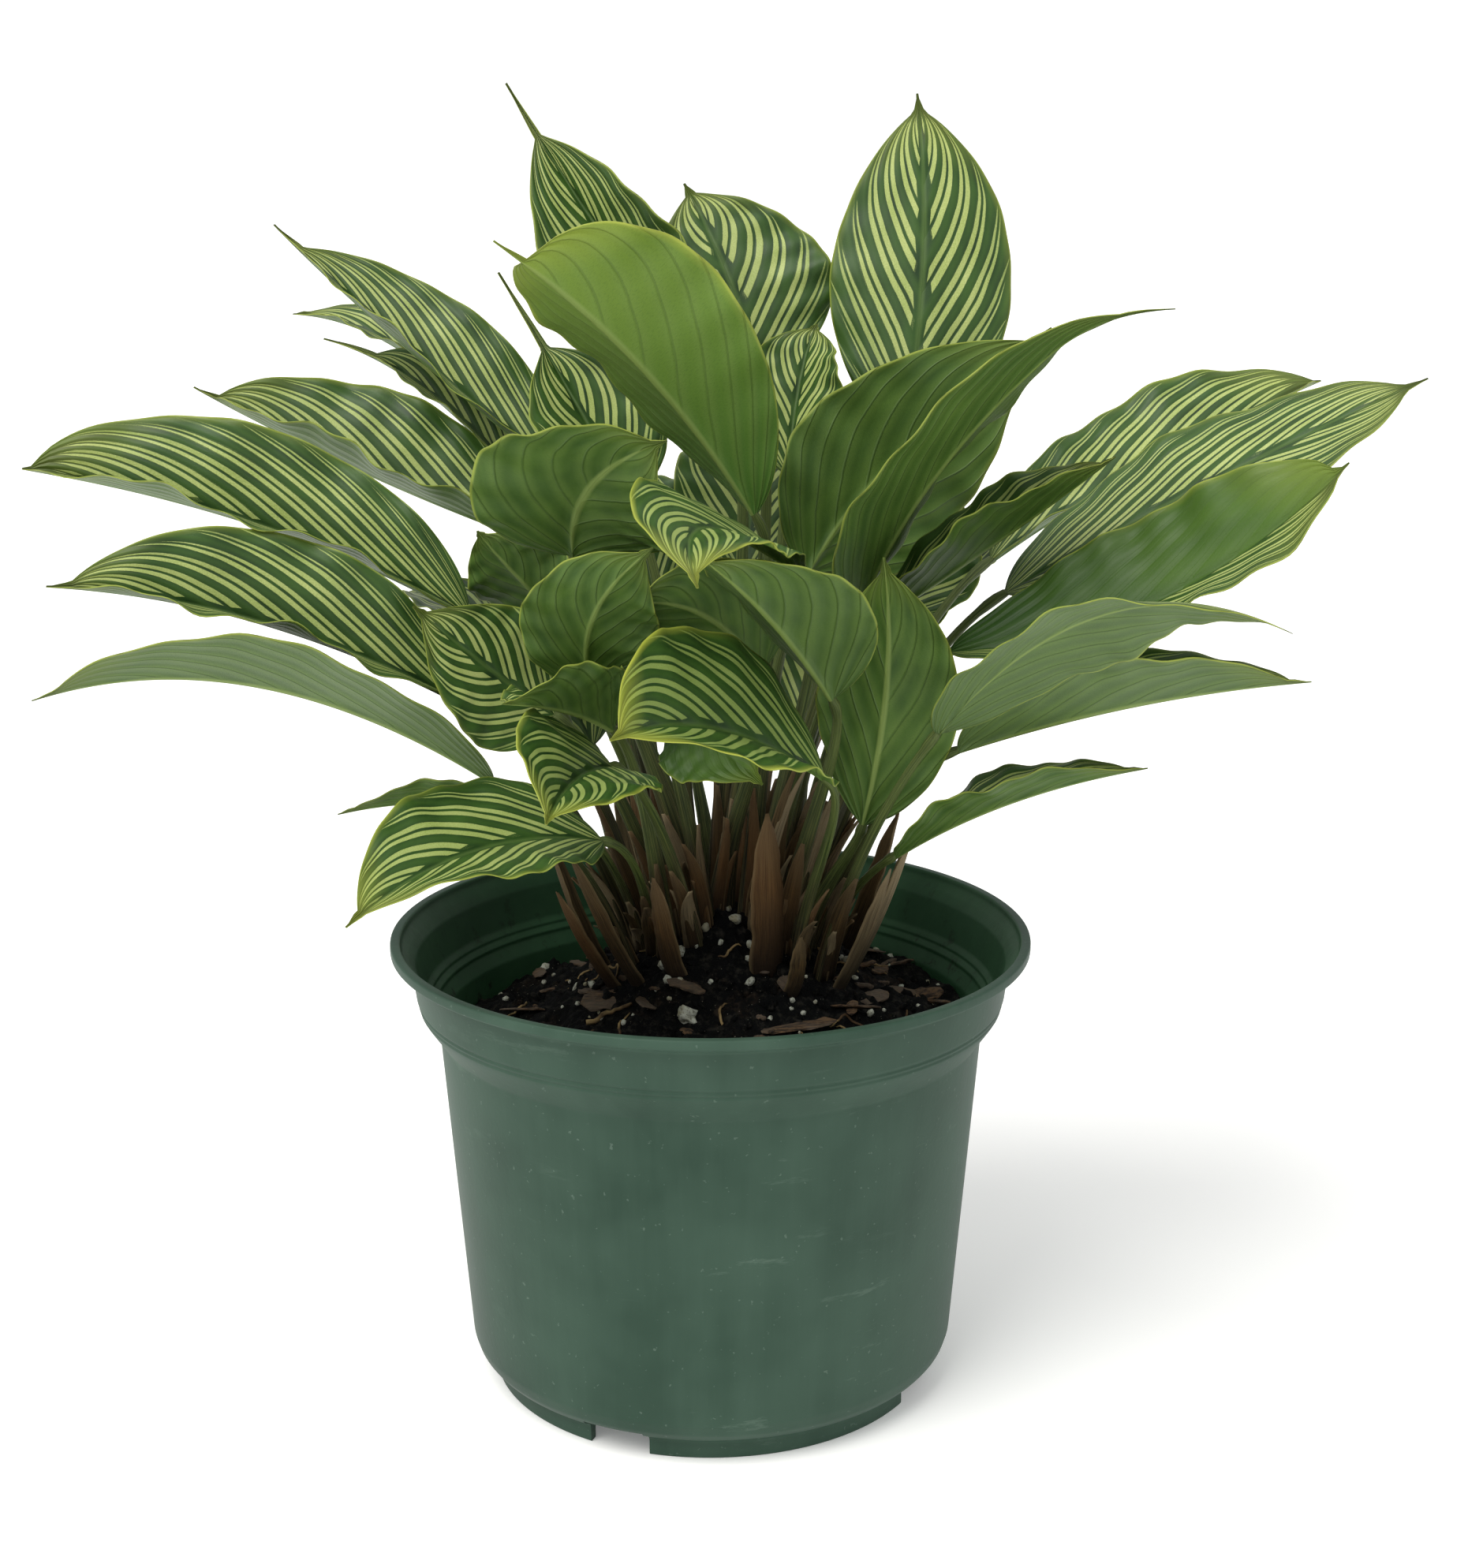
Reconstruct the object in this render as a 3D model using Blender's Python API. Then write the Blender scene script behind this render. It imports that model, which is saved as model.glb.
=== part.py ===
"""A potted calathea: nursery pot, potting soil, leaves and dry sheaths, each its own solid.

The object stands on z = 0 with the pot's axis on the z axis; the viewer of the plant looks along +y.
Sizes are in millimetres and become metres where a mesh is made.
"""

import math
from collections import namedtuple

import bmesh
import bpy
from mathutils import Matrix, Quaternion, Vector

MM = 0.001
UP = Vector((0.0, 0.0, 1.0))

Leaf = namedtuple("Leaf", "name place neck middle tip left right width bend roll wave drip hook point")


def leaf(name, place, neck, middle, tip, left, right, width,
         bend=(0, 0), roll=0, wave=2.0, drip=0.05, hook=(0, 0, 0), point=0.93):
    """One leaf's measures, in millimetres and degrees."""
    vectors = (Vector(value) for value in (neck, middle, tip, left, right))
    return Leaf(name, place, *vectors, width, bend, roll, wave, drip, Vector(hook), point)


# Nursery pot, turned about z
POT_HEIGHT = 184.0
RIM_RADIUS = 127.0
FOOT_RADIUS = 89.0
FOOT_WIDTH = 4.0
FLOOR_UNDER = 8.5
FLOOR_TOP = 11.0
CORNER_TOP = 20.0
SHOULDER_HEIGHT = 150.0
WALL_INSIDE_LOW = 96.0
WALL_INSIDE_HIGH = 106.0
POT_SEGMENTS = 48
NOTCH_COUNT = 4
NOTCH_WIDTH = 25.0
NOTCH_HEIGHT = 12.0
NOTCH_DEPTH = 22.0
NOTCH_CENTRE = 95.0
NOTCH_BELOW = 2.0
POT_CORNER = ((88.0, FLOOR_TOP), (93.5, 13.0), (WALL_INSIDE_LOW, CORNER_TOP))
POT_COLLAR = (
    (WALL_INSIDE_HIGH, SHOULDER_HEIGHT), (110.0, 152.5), (114.0, 158.0), (116.8, 178.0),
    (121.0, 181.0), (122.5, POT_HEIGHT),
)
POT_OUTSIDE = (
    (RIM_RADIUS, POT_HEIGHT), (RIM_RADIUS, 180.0), (123.5, 179.2), (119.2, 176.5),
    (116.4, 157.0), (112.0, 150.5), (108.2, 147.5), (98.2, 18.0), (96.0, 12.0),
    (FOOT_RADIUS, FLOOR_UNDER), (FOOT_RADIUS, 0.0),
)
NOTCH_FIRST_ANGLE = -113.7

# Potting soil, mounded round the stems
SOIL_CLEARANCE = 0.4
SOIL_EDGE_HEIGHT = 141.0
EDGE_MARGIN = 8.0
SOIL_TILT = 0.04
MOUND_RISE = 45.0
MOUND_CENTRE = (5.0, 16.0)
MOUND_SPREAD = (58.0, 56.0)
SOIL_SEGMENTS = 24
SOIL_RINGS = (0.12, 0.26, 0.42, 0.58, 0.74, 0.88)
LUMP_SIZE = 1.6
HOLE_DEPTH = 13.0
HOLE_ABOVE = 9.0
HOLE_CLEARANCE = 0.5
SLOT_CLEARANCE = 0.8
HOLE_SIDES = 6

# Dry sheath
SHEATH_ROWS = (-0.08, 0.0, 0.3, 0.62, 0.86, 1.0)
SHEATH_TAPER = 4.5
SHEATH_CURL = (60.0, 60.0)
SHEATH_BOW = 2.0
SHEATH_RIB = 0.3
SLOT_DEPTH = 12.0

# Leaf: petiole and blade in one piece
STEM_DEPTH = 12.0
STEM_RADIUS_LOW = 2.5
STEM_RADIUS_HIGH = 1.7
STEM_LEAN = 0.45
STEM_RISE = 0.4
STEM_ARCH = 0.2
BLADE_THICKNESS = 0.7
RIB_DEPTH = 1.3
TIP_REACH = 0.7
BLADE_ROWS = (0.05, 0.18, 0.34, 0.5, 0.66, 0.83, 1.0)
STEM_ROWS = (0.06, 0.36, 0.68, 1.0)
COLUMNS = (0.5, 1.0)
RING_ANGLES = (162, 126, 90, 54, 18, -18, -54, -90, -126, -162)
WAVES = 2.4
PHASE_STEP = 1.7
SIDE_PHASE = 1.9
DRIP_REACH = 2.0
ROUND_BASE = 0.7
HOOK_START = 0.75

# Each leaf: name; place on the soil (x, y); neck, middle and tip of the midrib; the way the left and
# the right half leave the midrib, seen from the neck with the upper face up; full width. Then, where
# they differ from a plain leaf: how far each half bends up (+) or down (-) towards its edge, the turn
# of the blade from neck to tip, the height of the edge waves, the share of the length that is a thin
# drawn-out tip, how far the last quarter hooks aside, and how pointed the blade is (less is blunter).
LEAVES = (
    leaf("left_1", (-32, 6), (-83, -25, 252), (-166, -50, 295), (-243, -75, 295),
         (0, -0.78, 0.63), (0, 1, 0), 74, bend=(0, -10), wave=1.5, point=0.8),
    leaf("left_2", (-32, 24), (-94, -18, 281), (-171, -32, 316), (-243, -45, 331),
         (0, -0.97, 0.24), (0, 0.1, 0.99), 70, bend=(0, -12), wave=3, point=0.85),
    leaf("left_3", (-27, 33), (-94, 8, 310), (-173, 13, 344), (-266, 18, 366),
         (0, -0.95, 0.26), (0, 0.1, 0.99), 74, bend=(0, -15), wave=3, drip=0.02, point=0.6),
    leaf("left_4", (-22, 24), (-67, 48, 332), (-137, 60, 358), (-209, 72, 392),
         (0, -0.97, 0.26), (0, 0.3, 0.95), 72, bend=(15, -10), wave=3, drip=0.06, point=0.7),
    leaf("left_5", (-17, 33), (-57, 60, 356), (-125, 85, 408), (-180, 110, 455),
         (0.1, -0.98, 0.15), (0.75, 0.1, 0.65), 58, bend=(0, -10), drip=0.1),
    leaf("left_6", (-12, 51), (-87, 112, 365), (-134, 136, 403), (-180, 148, 416),
         (0, -0.97, 0.15), (0.3, 0.7, 0.6), 40),
    leaf("left_7", (-22, 42), (-79, 84, 352), (-121, 102, 390), (-162, 114, 408),
         (0, -1, 0.1), (0.4, 0.3, 0.8), 42, drip=0.25, wave=1.5),
    leaf("left_8", (-17, 15), (-60, -12, 275), (-83, -27, 296), (-110, -37, 322),
         (-0.4, -0.6, -0.6), (0.3, 0.3, 0.9), 56, wave=1.5),
    leaf("left_9", (-13, 22), (-44, 29, 271), (-60, 33, 301), (-85, 32, 334),
         (-0.6, -0.6, -0.3), (0.7, 0.2, 0.5), 40, wave=1.5),
    leaf("top_1", (-7, 33), (-31, 35, 349), (-55, 50, 391), (-84, 65, 438),
         (-0.5, -0.8, -0.2), (0.8, -0.3, 0.5), 66, drip=0.3),
    leaf("top_2", (3, 42), (0, 52, 398), (-40, 68, 449), (-81, 88, 511),
         (-0.6, -0.6, -0.4), (0.55, -0.75, 0.35), 74, drip=0.15),
    leaf("top_3", (13, 33), (20, 62, 396), (8, 72, 435), (-10, 88, 472),
         (-0.9, -0.2, -0.3), (0.93, 0, 0.36), 80, bend=(0, -10), wave=3),
    leaf("top_4", (23, 33), (77, 40, 374), (85, 60, 443), (83, 80, 507),
         (-1, 0.1, 0), (1, 0.1, 0), 74, bend=(-10, -10), wave=1, point=0.8),
    leaf("top_5", (18, 42), (31, 38, 361), (36, 50, 396), (43, 60, 418),
         (-1, 0, 0.2), (0.6, -0.8, 0), 48),
    leaf("top_6", (6, 24), (17, -10, 352), (-26, -30, 410), (-76, -50, 455),
         (0.8, -0.2, 0.55), (-0.3, 0.93, -0.2), 90, drip=0.1, point=0.42),
    leaf("right_1", (15, 13), (38, 2, 328), (73, 13, 371), (132, 25, 419),
         (0.6, 0.2, -0.6), (-0.65, -0.2, 0.7), 76, wave=3),
    leaf("right_2", (23, 15), (54, -15, 310), (92, -36, 382), (158, -60, 446),
         (0.14, 0.98, -0.2), (-0.4, -0.8, 0.45), 72, drip=0.08, hook=(6, 0, -14), point=1.0),
    leaf("right_3", (38, 33), (113, 42, 326), (179, 64, 362), (252, 85, 393),
         (0, 0.7, 0.7), (0, -0.97, 0.2), 66, wave=3, drip=0.02, point=0.6),
    leaf("right_4", (28, 24), (67, -12, 314), (113, -20, 347), (150, -28, 376),
         (0, 0.8, 0.6), (0, -0.77, 0.64), 58),
    leaf("right_5", (38, 24), (114, 0, 320), (192, -4, 364), (269, -10, 403),
         (0, 0.85, 0.5), (0, -0.9, -0.4), 72, point=0.75),
    leaf("right_6", (33, 15), (91, -20, 301), (165, -45, 325), (226, -70, 379),
         (0, 0.5, 0.85), (0, -1, 0), 70, wave=3, drip=0.03, point=0.5),
    leaf("right_7", (45, -4), (84, -52, 277), (136, -100, 331), (196, -127, 329),
         (0, 0.75, -0.66), (0, -0.95, 0.35), 58, roll=50),
    leaf("right_8", (43, 15), (94, -30, 265), (157, -50, 287), (216, -75, 301),
         (0, 0.95, 0.3), (0, -0.72, 0.69), 70),
    leaf("right_9", (48, 24), (72, -15, 219), (114, -35, 246), (162, -55, 264),
         (0, 0.9, 0.4), (0, -0.75, 0.65), 40),
    leaf("right_10", (33, 42), (70, 50, 300), (88, 62, 328), (103, 72, 349),
         (-0.5, 0.3, 0.7), (0.6, -0.4, -0.5), 54),
    leaf("front_1", (19, 3), (32, -52, 338), (-2, -96, 360), (-4, -145, 348),
         (0.75, -0.5, 0), (-0.45, 0.6, 0.5), 60, bend=(-20, -20), wave=1.5),
    leaf("front_2", (29, -1), (45, -48, 289), (21, -80, 325), (-3, -108, 352),
         (0.65, -0.3, 0.6), (-0.2, 0.95, -0.1), 68, bend=(-15, 0), wave=1),
    leaf("front_3", (34, -9), (42, -56, 261), (0, -95, 289), (-33, -150, 298),
         (0.7, -0.65, -0.2), (-0.3, 0.25, 0.92), 84, bend=(0, -15)),
    leaf("front_4", (36, 4), (59, -20, 233), (66, -40, 292), (63, -55, 343),
         (1, -0.1, 0), (-0.85, 0.5, 0), 56, wave=1.5),
    leaf("front_5", (-7, 15), (-51, -25, 339), (-43, -45, 368), (-15, -60, 386),
         (0.75, -0.1, -0.3), (-0.9, -0.3, 0.3), 84, wave=3),
    leaf("front_6", (-12, 6), (-44, -40, 292), (-42, -60, 323), (-20, -75, 350),
         (0.9, 0.2, -0.2), (-0.9, 0, 0.2), 52, wave=2.5),
    leaf("front_7", (3, 15), (20, -20, 294), (-3, -42, 320), (-30, -60, 327),
         (0.5, -0.2, 0.8), (-0.2, 0.6, -0.75), 56, wave=2.5),
    leaf("front_8", (-17, -3), (-37, -40, 276), (-54, -70, 290), (-73, -95, 298),
         (0.3, -0.5, 0.8), (-0.5, 0.8, 0), 50, wave=2.5),
    leaf("front_9", (-7, -3), (-36, -62, 267), (-48, -100, 271), (-55, -145, 268),
         (0.6, -0.7, 0.1), (-0.5, 0.2, 0.85), 60, bend=(-20, -20), wave=1.5),
    leaf("front_10", (-2, 5), (-13, -30, 277), (1, -50, 273), (19, -70, 262),
         (0.5, 0.3, 0.8), (-0.5, -0.3, -0.5), 40),
    leaf("front_11", (-22, 6), (-41, -42, 233), (-87, -75, 238), (-127, -120, 224),
         (0.2, -0.97, 0.05), (-0.4, 0.7, 0.6), 70, bend=(-10, -10)),
    leaf("front_12", (-27, 15), (-58, -6, 232), (-102, -10, 240), (-144, -18, 237),
         (0, -0.7, 0.7), (0, 1, 0.1), 34, wave=1.5),
    leaf("front_13", (-2, 24), (-53, 5, 304), (-74, -3, 328), (-88, -10, 346),
         (0.7, -0.3, 0.3), (-0.5, 0.5, -0.6), 46, wave=2.5),
    leaf("back_1", (43, 42), (70, 75, 275), (100, 108, 318), (130, 140, 318),
         (-0.7, 0.7, 0.3), (0.7, -0.7, 0.2), 66),
    leaf("back_2", (33, 51), (52, 88, 300), (72, 120, 340), (85, 150, 350),
         (-0.9, 0.4, 0.2), (0.9, -0.4, 0.2), 66),
    leaf("back_3", (23, 51), (40, 84, 240), (55, 115, 275), (68, 148, 270),
         (-0.9, 0.4, 0.2), (0.9, -0.4, 0.2), 64),
    leaf("back_4", (10, 50), (15, 80, 310), (18, 113, 352), (20, 148, 362),
         (-1, 0, 0.2), (1, 0, 0.2), 66),
    leaf("back_5", (3, 51), (-10, 86, 250), (-15, 118, 285), (-20, 150, 285),
         (-1, 0, 0.2), (1, 0, 0.2), 64),
    leaf("back_6", (-7, 42), (-22, 82, 300), (-38, 114, 338), (-52, 148, 343),
         (-0.9, -0.4, 0.2), (0.9, 0.4, 0.2), 62),
    leaf("back_7", (-17, 51), (-50, 80, 240), (-78, 108, 272), (-105, 135, 270),
         (-0.8, -0.6, 0.2), (0.8, 0.6, 0.2), 64),
    leaf("back_8", (-32, 36), (-62, 55, 262), (-98, 80, 296), (-135, 103, 301),
         (-0.5, -0.8, 0.2), (0.5, 0.8, 0.2), 62),
)

# Each dry sheath: place on the soil (x, y), tip, width.
SHEATHS = (
    ((24, -15), (22, -22, 238), 18),
    ((53, -8), (70, -17, 214), 13),
    ((58, 8), (80, 4, 222), 14),
    ((-41, 0), (-60, -14, 204), 16),
    ((-31, -10), (-54, -24, 222), 13),
    ((-15, -16), (-22, -28, 214), 12),
    ((33, -24), (35, -29, 190), 10),
    ((-46, 24), (-66, 30, 214), 14),
    ((-26, 58), (-40, 74, 220), 14),
    ((14, 64), (18, 82, 220), 14),
    ((58, 42), (78, 52, 218), 14),
)


def direction_from(guess, tangent):
    """The part of guess that is square to the tangent, at unit length."""
    return (guess - tangent * guess.dot(tangent)).normalized()


def bend_curve(start, middle, end, t):
    """Point and unit tangent on the parabola that passes through middle half way."""
    control = middle * 2.0 - (start + end) * 0.5
    point = start * (1 - t) ** 2 + control * (2 * t * (1 - t)) + end * t**2
    tangent = (control - start) * (1 - t) + (end - control) * t
    return point, tangent.normalized()


def bezier(points, t):
    """Point and unit tangent on a cubic curve through four control points."""
    a, b, c, d = points
    point = a * (1 - t) ** 3 + b * (3 * t * (1 - t) ** 2) + c * (3 * t**2 * (1 - t)) + d * t**3
    tangent = (b - a) * (1 - t) ** 2 + (c - b) * (2 * t * (1 - t)) + (d - c) * t**2
    return point, tangent.normalized()


def soil_height(x, y):
    """Height of the soil: a mound round the stems with small lumps."""
    across = (x - MOUND_CENTRE[0]) / MOUND_SPREAD[0]
    along = (y - MOUND_CENTRE[1]) / MOUND_SPREAD[1]
    mound = MOUND_RISE * math.exp(-(across**2 + along**2))
    lumps = LUMP_SIZE * math.sin(x * 0.09 + 1.3) * math.cos(y * 0.11 - 0.4)
    return SOIL_EDGE_HEIGHT + SOIL_TILT * x + mound + lumps


def wall_inside(height):
    """Inner radius of the pot's straight wall at a height."""
    rise = (height - CORNER_TOP) / (SHOULDER_HEIGHT - CORNER_TOP)
    return WALL_INSIDE_LOW + (WALL_INSIDE_HIGH - WALL_INSIDE_LOW) * rise


def width_share(t, point):
    """Half width of a blade along its midrib, as a share of its greatest half width."""
    widest = ROUND_BASE / (ROUND_BASE + point)
    full = widest**ROUND_BASE * (1.0 - widest) ** point
    return t**ROUND_BASE * (1.0 - t) ** point / full


def stem_curve(root, neck, blade_start):
    """Control points of a petiole that rises from the soil and leans over into the blade."""
    reach = (neck - root).length
    aside = (neck - root) * STEM_LEAN
    start = Vector((aside.x, aside.y, neck.z - root.z)).normalized()
    return root, root + start * (reach * STEM_RISE), neck - blade_start * (reach * STEM_ARCH), neck


def stem_ring(centre, tangent, side, radius):
    """Ten points round a petiole, in the order of a blade's ring."""
    across = direction_from(side, tangent)
    upper = across.cross(tangent)
    ring = []
    for angle in RING_ANGLES:
        turn = math.radians(angle)
        ring.append(centre + (across * math.cos(turn) + upper * math.sin(turn)) * radius)
    return ring


def half_blade(origin, outward, upper, reach, bend, wave):
    """Points and face directions across one half of a blade, from the midrib to the edge."""
    points = []
    for u in COLUMNS:
        turn = math.radians(bend) * u
        if abs(bend) < 0.01:
            across, rise = u, 0.0
        else:
            across = math.sin(turn) / math.radians(bend)
            rise = (1.0 - math.cos(turn)) / math.radians(bend)
        face = upper * math.cos(turn) - outward * math.sin(turn)
        point = origin + (outward * across + upper * rise) * reach + face * (wave * u * u)
        points.append((point, face))
    return points


def blade_ring(origin, tangent, left, right, reach, bends, waves, rib):
    """Ten points round a blade: five on its upper face from left to right, five back underneath."""
    upper_left = tangent.cross(left)
    upper_right = right.cross(tangent)
    left_half = half_blade(origin, left, upper_left, reach, bends[0], waves[0])
    right_half = half_blade(origin, right, upper_right, reach, bends[1], waves[1])
    middle = (origin, (upper_left + upper_right).normalized())
    across = left_half[::-1] + [middle] + right_half
    top = [point + face * (BLADE_THICKNESS * 0.5) for point, face in across]
    under = []
    for index, (point, face) in enumerate(across):
        depth = BLADE_THICKNESS * 0.5 + (rib if index == len(COLUMNS) else 0.0)
        under.append(point - face * depth)
    return top + under[::-1]


def midrib(leaf, t):
    """Point and unit tangent of a leaf's midrib."""
    point, tangent = bend_curve(leaf.neck, leaf.middle, leaf.tip, t)
    late = max(0.0, t - HOOK_START) / (1.0 - HOOK_START)
    reach = (leaf.tip - leaf.neck).length
    tangent = (tangent * reach + leaf.hook * (2.0 * late / (1.0 - HOOK_START))).normalized()
    return point + leaf.hook * late**2, tangent


def blade_reach(leaf, t):
    """Half width of a leaf's blade: an ellipse drawn out to a thin tip."""
    body = 1.0 - leaf.drip
    reach = leaf.width * 0.5 * width_share(min(t / body, 1.0), leaf.point)
    thin = DRIP_REACH * (1.0 - t) / leaf.drip
    return max(reach, min(thin, DRIP_REACH), TIP_REACH)


def leaf_rings(leaf, index):
    """All rings of a leaf, from the foot of its petiole in the soil to the tip of its blade."""
    root = Vector((leaf.place[0], leaf.place[1], soil_height(*leaf.place)))
    start_tangent = midrib(leaf, 0.0)[1]
    side = direction_from(leaf.right, start_tangent) - direction_from(leaf.left, start_tangent)
    curve = stem_curve(root, leaf.neck, start_tangent)
    foot_tangent = bezier(curve, 0.0)[1]
    rings = [stem_ring(root - foot_tangent * STEM_DEPTH, foot_tangent, side, STEM_RADIUS_LOW)]
    for t in STEM_ROWS:
        centre, tangent = bezier(curve, t)
        radius = STEM_RADIUS_LOW + (STEM_RADIUS_HIGH - STEM_RADIUS_LOW) * t
        rings.append(stem_ring(centre, tangent, side, radius))
    for t in BLADE_ROWS:
        origin, tangent = midrib(leaf, t)
        turn = Quaternion(tangent, math.radians(leaf.roll) * (t - 0.5))
        left = direction_from(turn @ leaf.left, tangent)
        right = direction_from(turn @ leaf.right, tangent)
        reach = blade_reach(leaf, t)
        height = leaf.wave * min(1.0, 2.0 * reach / leaf.width)
        phase = math.tau * WAVES * t + index * PHASE_STEP
        waves = (height * math.sin(phase), height * math.sin(phase + SIDE_PHASE))
        rib = RIB_DEPTH * (1.0 - t) ** 0.7
        rings.append(blade_ring(origin, tangent, left, right, reach, leaf.bend, waves, rib))
    return rings


def sheath_rings(place, tip, width):
    """Rings of a dry sheath: a blade curled round the outside of the clump, from its buried foot up."""
    tip = Vector(tip)
    root = Vector((place[0], place[1], soil_height(*place)))
    out = Vector((root.x - MOUND_CENTRE[0], root.y - MOUND_CENTRE[1], 0.0)).normalized()
    middle = (root + tip) * 0.5 + out * SHEATH_BOW
    side = UP.cross(out)
    rings = []
    for t in SHEATH_ROWS:
        origin, tangent = bend_curve(root, middle, tip, t)
        reach = max(width * 0.5 * (1.0 - max(t, 0.0) ** SHEATH_TAPER), TIP_REACH)
        right = direction_from(side, tangent)
        rings.append(blade_ring(origin, tangent, right, -right, reach, SHEATH_CURL, (0.0, 0.0), SHEATH_RIB))
    return rings


def loft(name, rings):
    """One closed solid through rings of ten points, split alike on both faces."""
    mesh = bpy.data.meshes.new(name)
    shape = bmesh.new()
    rows = [[shape.verts.new(point * MM) for point in ring] for ring in rings]
    count = len(rows[0])
    for low, high in zip(rows, rows[1:]):
        for j in range(count):
            k = (j + 1) % count
            if j < count // 2:
                shape.faces.new((low[j], low[k], high[k]))
                shape.faces.new((low[j], high[k], high[j]))
            else:
                shape.faces.new((low[j], low[k], high[j]))
                shape.faces.new((low[k], high[k], high[j]))
    for row in (rows[0], rows[-1]):
        for j in range(count // 2 - 1):
            shape.faces.new((row[j], row[j + 1], row[count - 2 - j], row[count - 1 - j]))
    bmesh.ops.triangulate(shape, faces=[face for face in shape.faces if len(face.verts) > 3])
    bmesh.ops.recalc_face_normals(shape, faces=shape.faces)
    shape.to_mesh(mesh)
    shape.free()
    return add_object(name, mesh)


def turned(name, outline, segments):
    """A solid turned about z from an outline that starts and ends on the axis."""
    mesh = bpy.data.meshes.new(name)
    shape = bmesh.new()
    first = shape.verts.new(Vector((0.0, 0.0, outline[0][1])) * MM)
    last = shape.verts.new(Vector((0.0, 0.0, outline[-1][1])) * MM)
    rings = []
    for radius, height in outline[1:-1]:
        ring = []
        for step in range(segments):
            angle = math.tau * step / segments
            point = Vector((radius * math.cos(angle), radius * math.sin(angle), height))
            ring.append(shape.verts.new(point * MM))
        rings.append(ring)
    for step in range(segments):
        after = (step + 1) % segments
        shape.faces.new((first, rings[0][step], rings[0][after]))
        shape.faces.new((last, rings[-1][after], rings[-1][step]))
        for low, high in zip(rings, rings[1:]):
            shape.faces.new((low[step], high[step], high[after], low[after]))
    bmesh.ops.recalc_face_normals(shape, faces=shape.faces)
    shape.to_mesh(mesh)
    shape.free()
    return add_object(name, mesh)


def add_object(name, mesh):
    piece = bpy.data.objects.new(name, mesh)
    bpy.context.scene.collection.objects.link(piece)
    return piece


def box(name, centre, size, angle):
    """A box of a given size, turned about z."""
    mesh = bpy.data.meshes.new(name)
    shape = bmesh.new()
    scale = Matrix.Diagonal((*(size * MM), 1.0))
    place = Matrix.Translation(centre * MM) @ Matrix.Rotation(angle, 4, "Z") @ scale
    bmesh.ops.create_cube(shape, size=1.0, matrix=place)
    shape.to_mesh(mesh)
    shape.free()
    return add_object(name, mesh)


def finish(piece, colour, roughness):
    """Gives a piece its own material and smooth shading with sharp corners kept."""
    material = bpy.data.materials.new(piece.name)
    material.use_nodes = True
    shader = material.node_tree.nodes["Principled BSDF"]
    shader.inputs["Base Color"].default_value = (*colour, 1.0)
    shader.inputs["Roughness"].default_value = roughness
    piece.data.materials.clear()
    piece.data.materials.append(material)
    piece.data.shade_smooth()
    piece.data.set_sharp_from_angle(angle=math.radians(40))
    return piece


def cut(piece, cutters):
    """Cuts every cutter out of a piece, and removes the cutters."""
    group = bpy.data.collections.new(piece.name + "_cutters")
    bpy.context.scene.collection.children.link(group)
    for cutter in cutters:
        bpy.context.scene.collection.objects.unlink(cutter)
        group.objects.link(cutter)
    modifier = piece.modifiers.new("cut", "BOOLEAN")
    modifier.operation = "DIFFERENCE"
    modifier.operand_type = "COLLECTION"
    modifier.collection = group
    modifier.solver = "EXACT"
    bpy.context.view_layer.update()
    graph = bpy.context.evaluated_depsgraph_get()
    mesh = bpy.data.meshes.new_from_object(piece.evaluated_get(graph))
    piece.modifiers.clear()
    piece.data = mesh
    for cutter in cutters:
        bpy.data.objects.remove(cutter)
    bpy.data.collections.remove(group)


def make_pot():
    """The pot: floor, tapering wall, shoulder, collar and flat rim, on a foot ring cut by notches."""
    foot_inside = FOOT_RADIUS - FOOT_WIDTH
    under = ((foot_inside, 0.0), (foot_inside, FLOOR_UNDER), (0.0, FLOOR_UNDER))
    outline = ((0.0, FLOOR_TOP), *POT_CORNER, *POT_COLLAR, *POT_OUTSIDE, *under)
    pot = turned("pot", outline, POT_SEGMENTS)
    notches = []
    for number in range(NOTCH_COUNT):
        angle = math.radians(NOTCH_FIRST_ANGLE + 360.0 * number / NOTCH_COUNT)
        out = Vector((math.cos(angle), math.sin(angle), 0.0))
        centre = out * NOTCH_CENTRE + UP * (NOTCH_HEIGHT * 0.5 - NOTCH_BELOW)
        size = Vector((NOTCH_DEPTH, NOTCH_WIDTH, NOTCH_HEIGHT + 2.0 * NOTCH_BELOW))
        notches.append(box(f"notch_{number + 1}", centre, size, angle))
    cut(pot, notches)
    return finish(pot, (0.062, 0.105, 0.075), 0.5)


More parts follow.
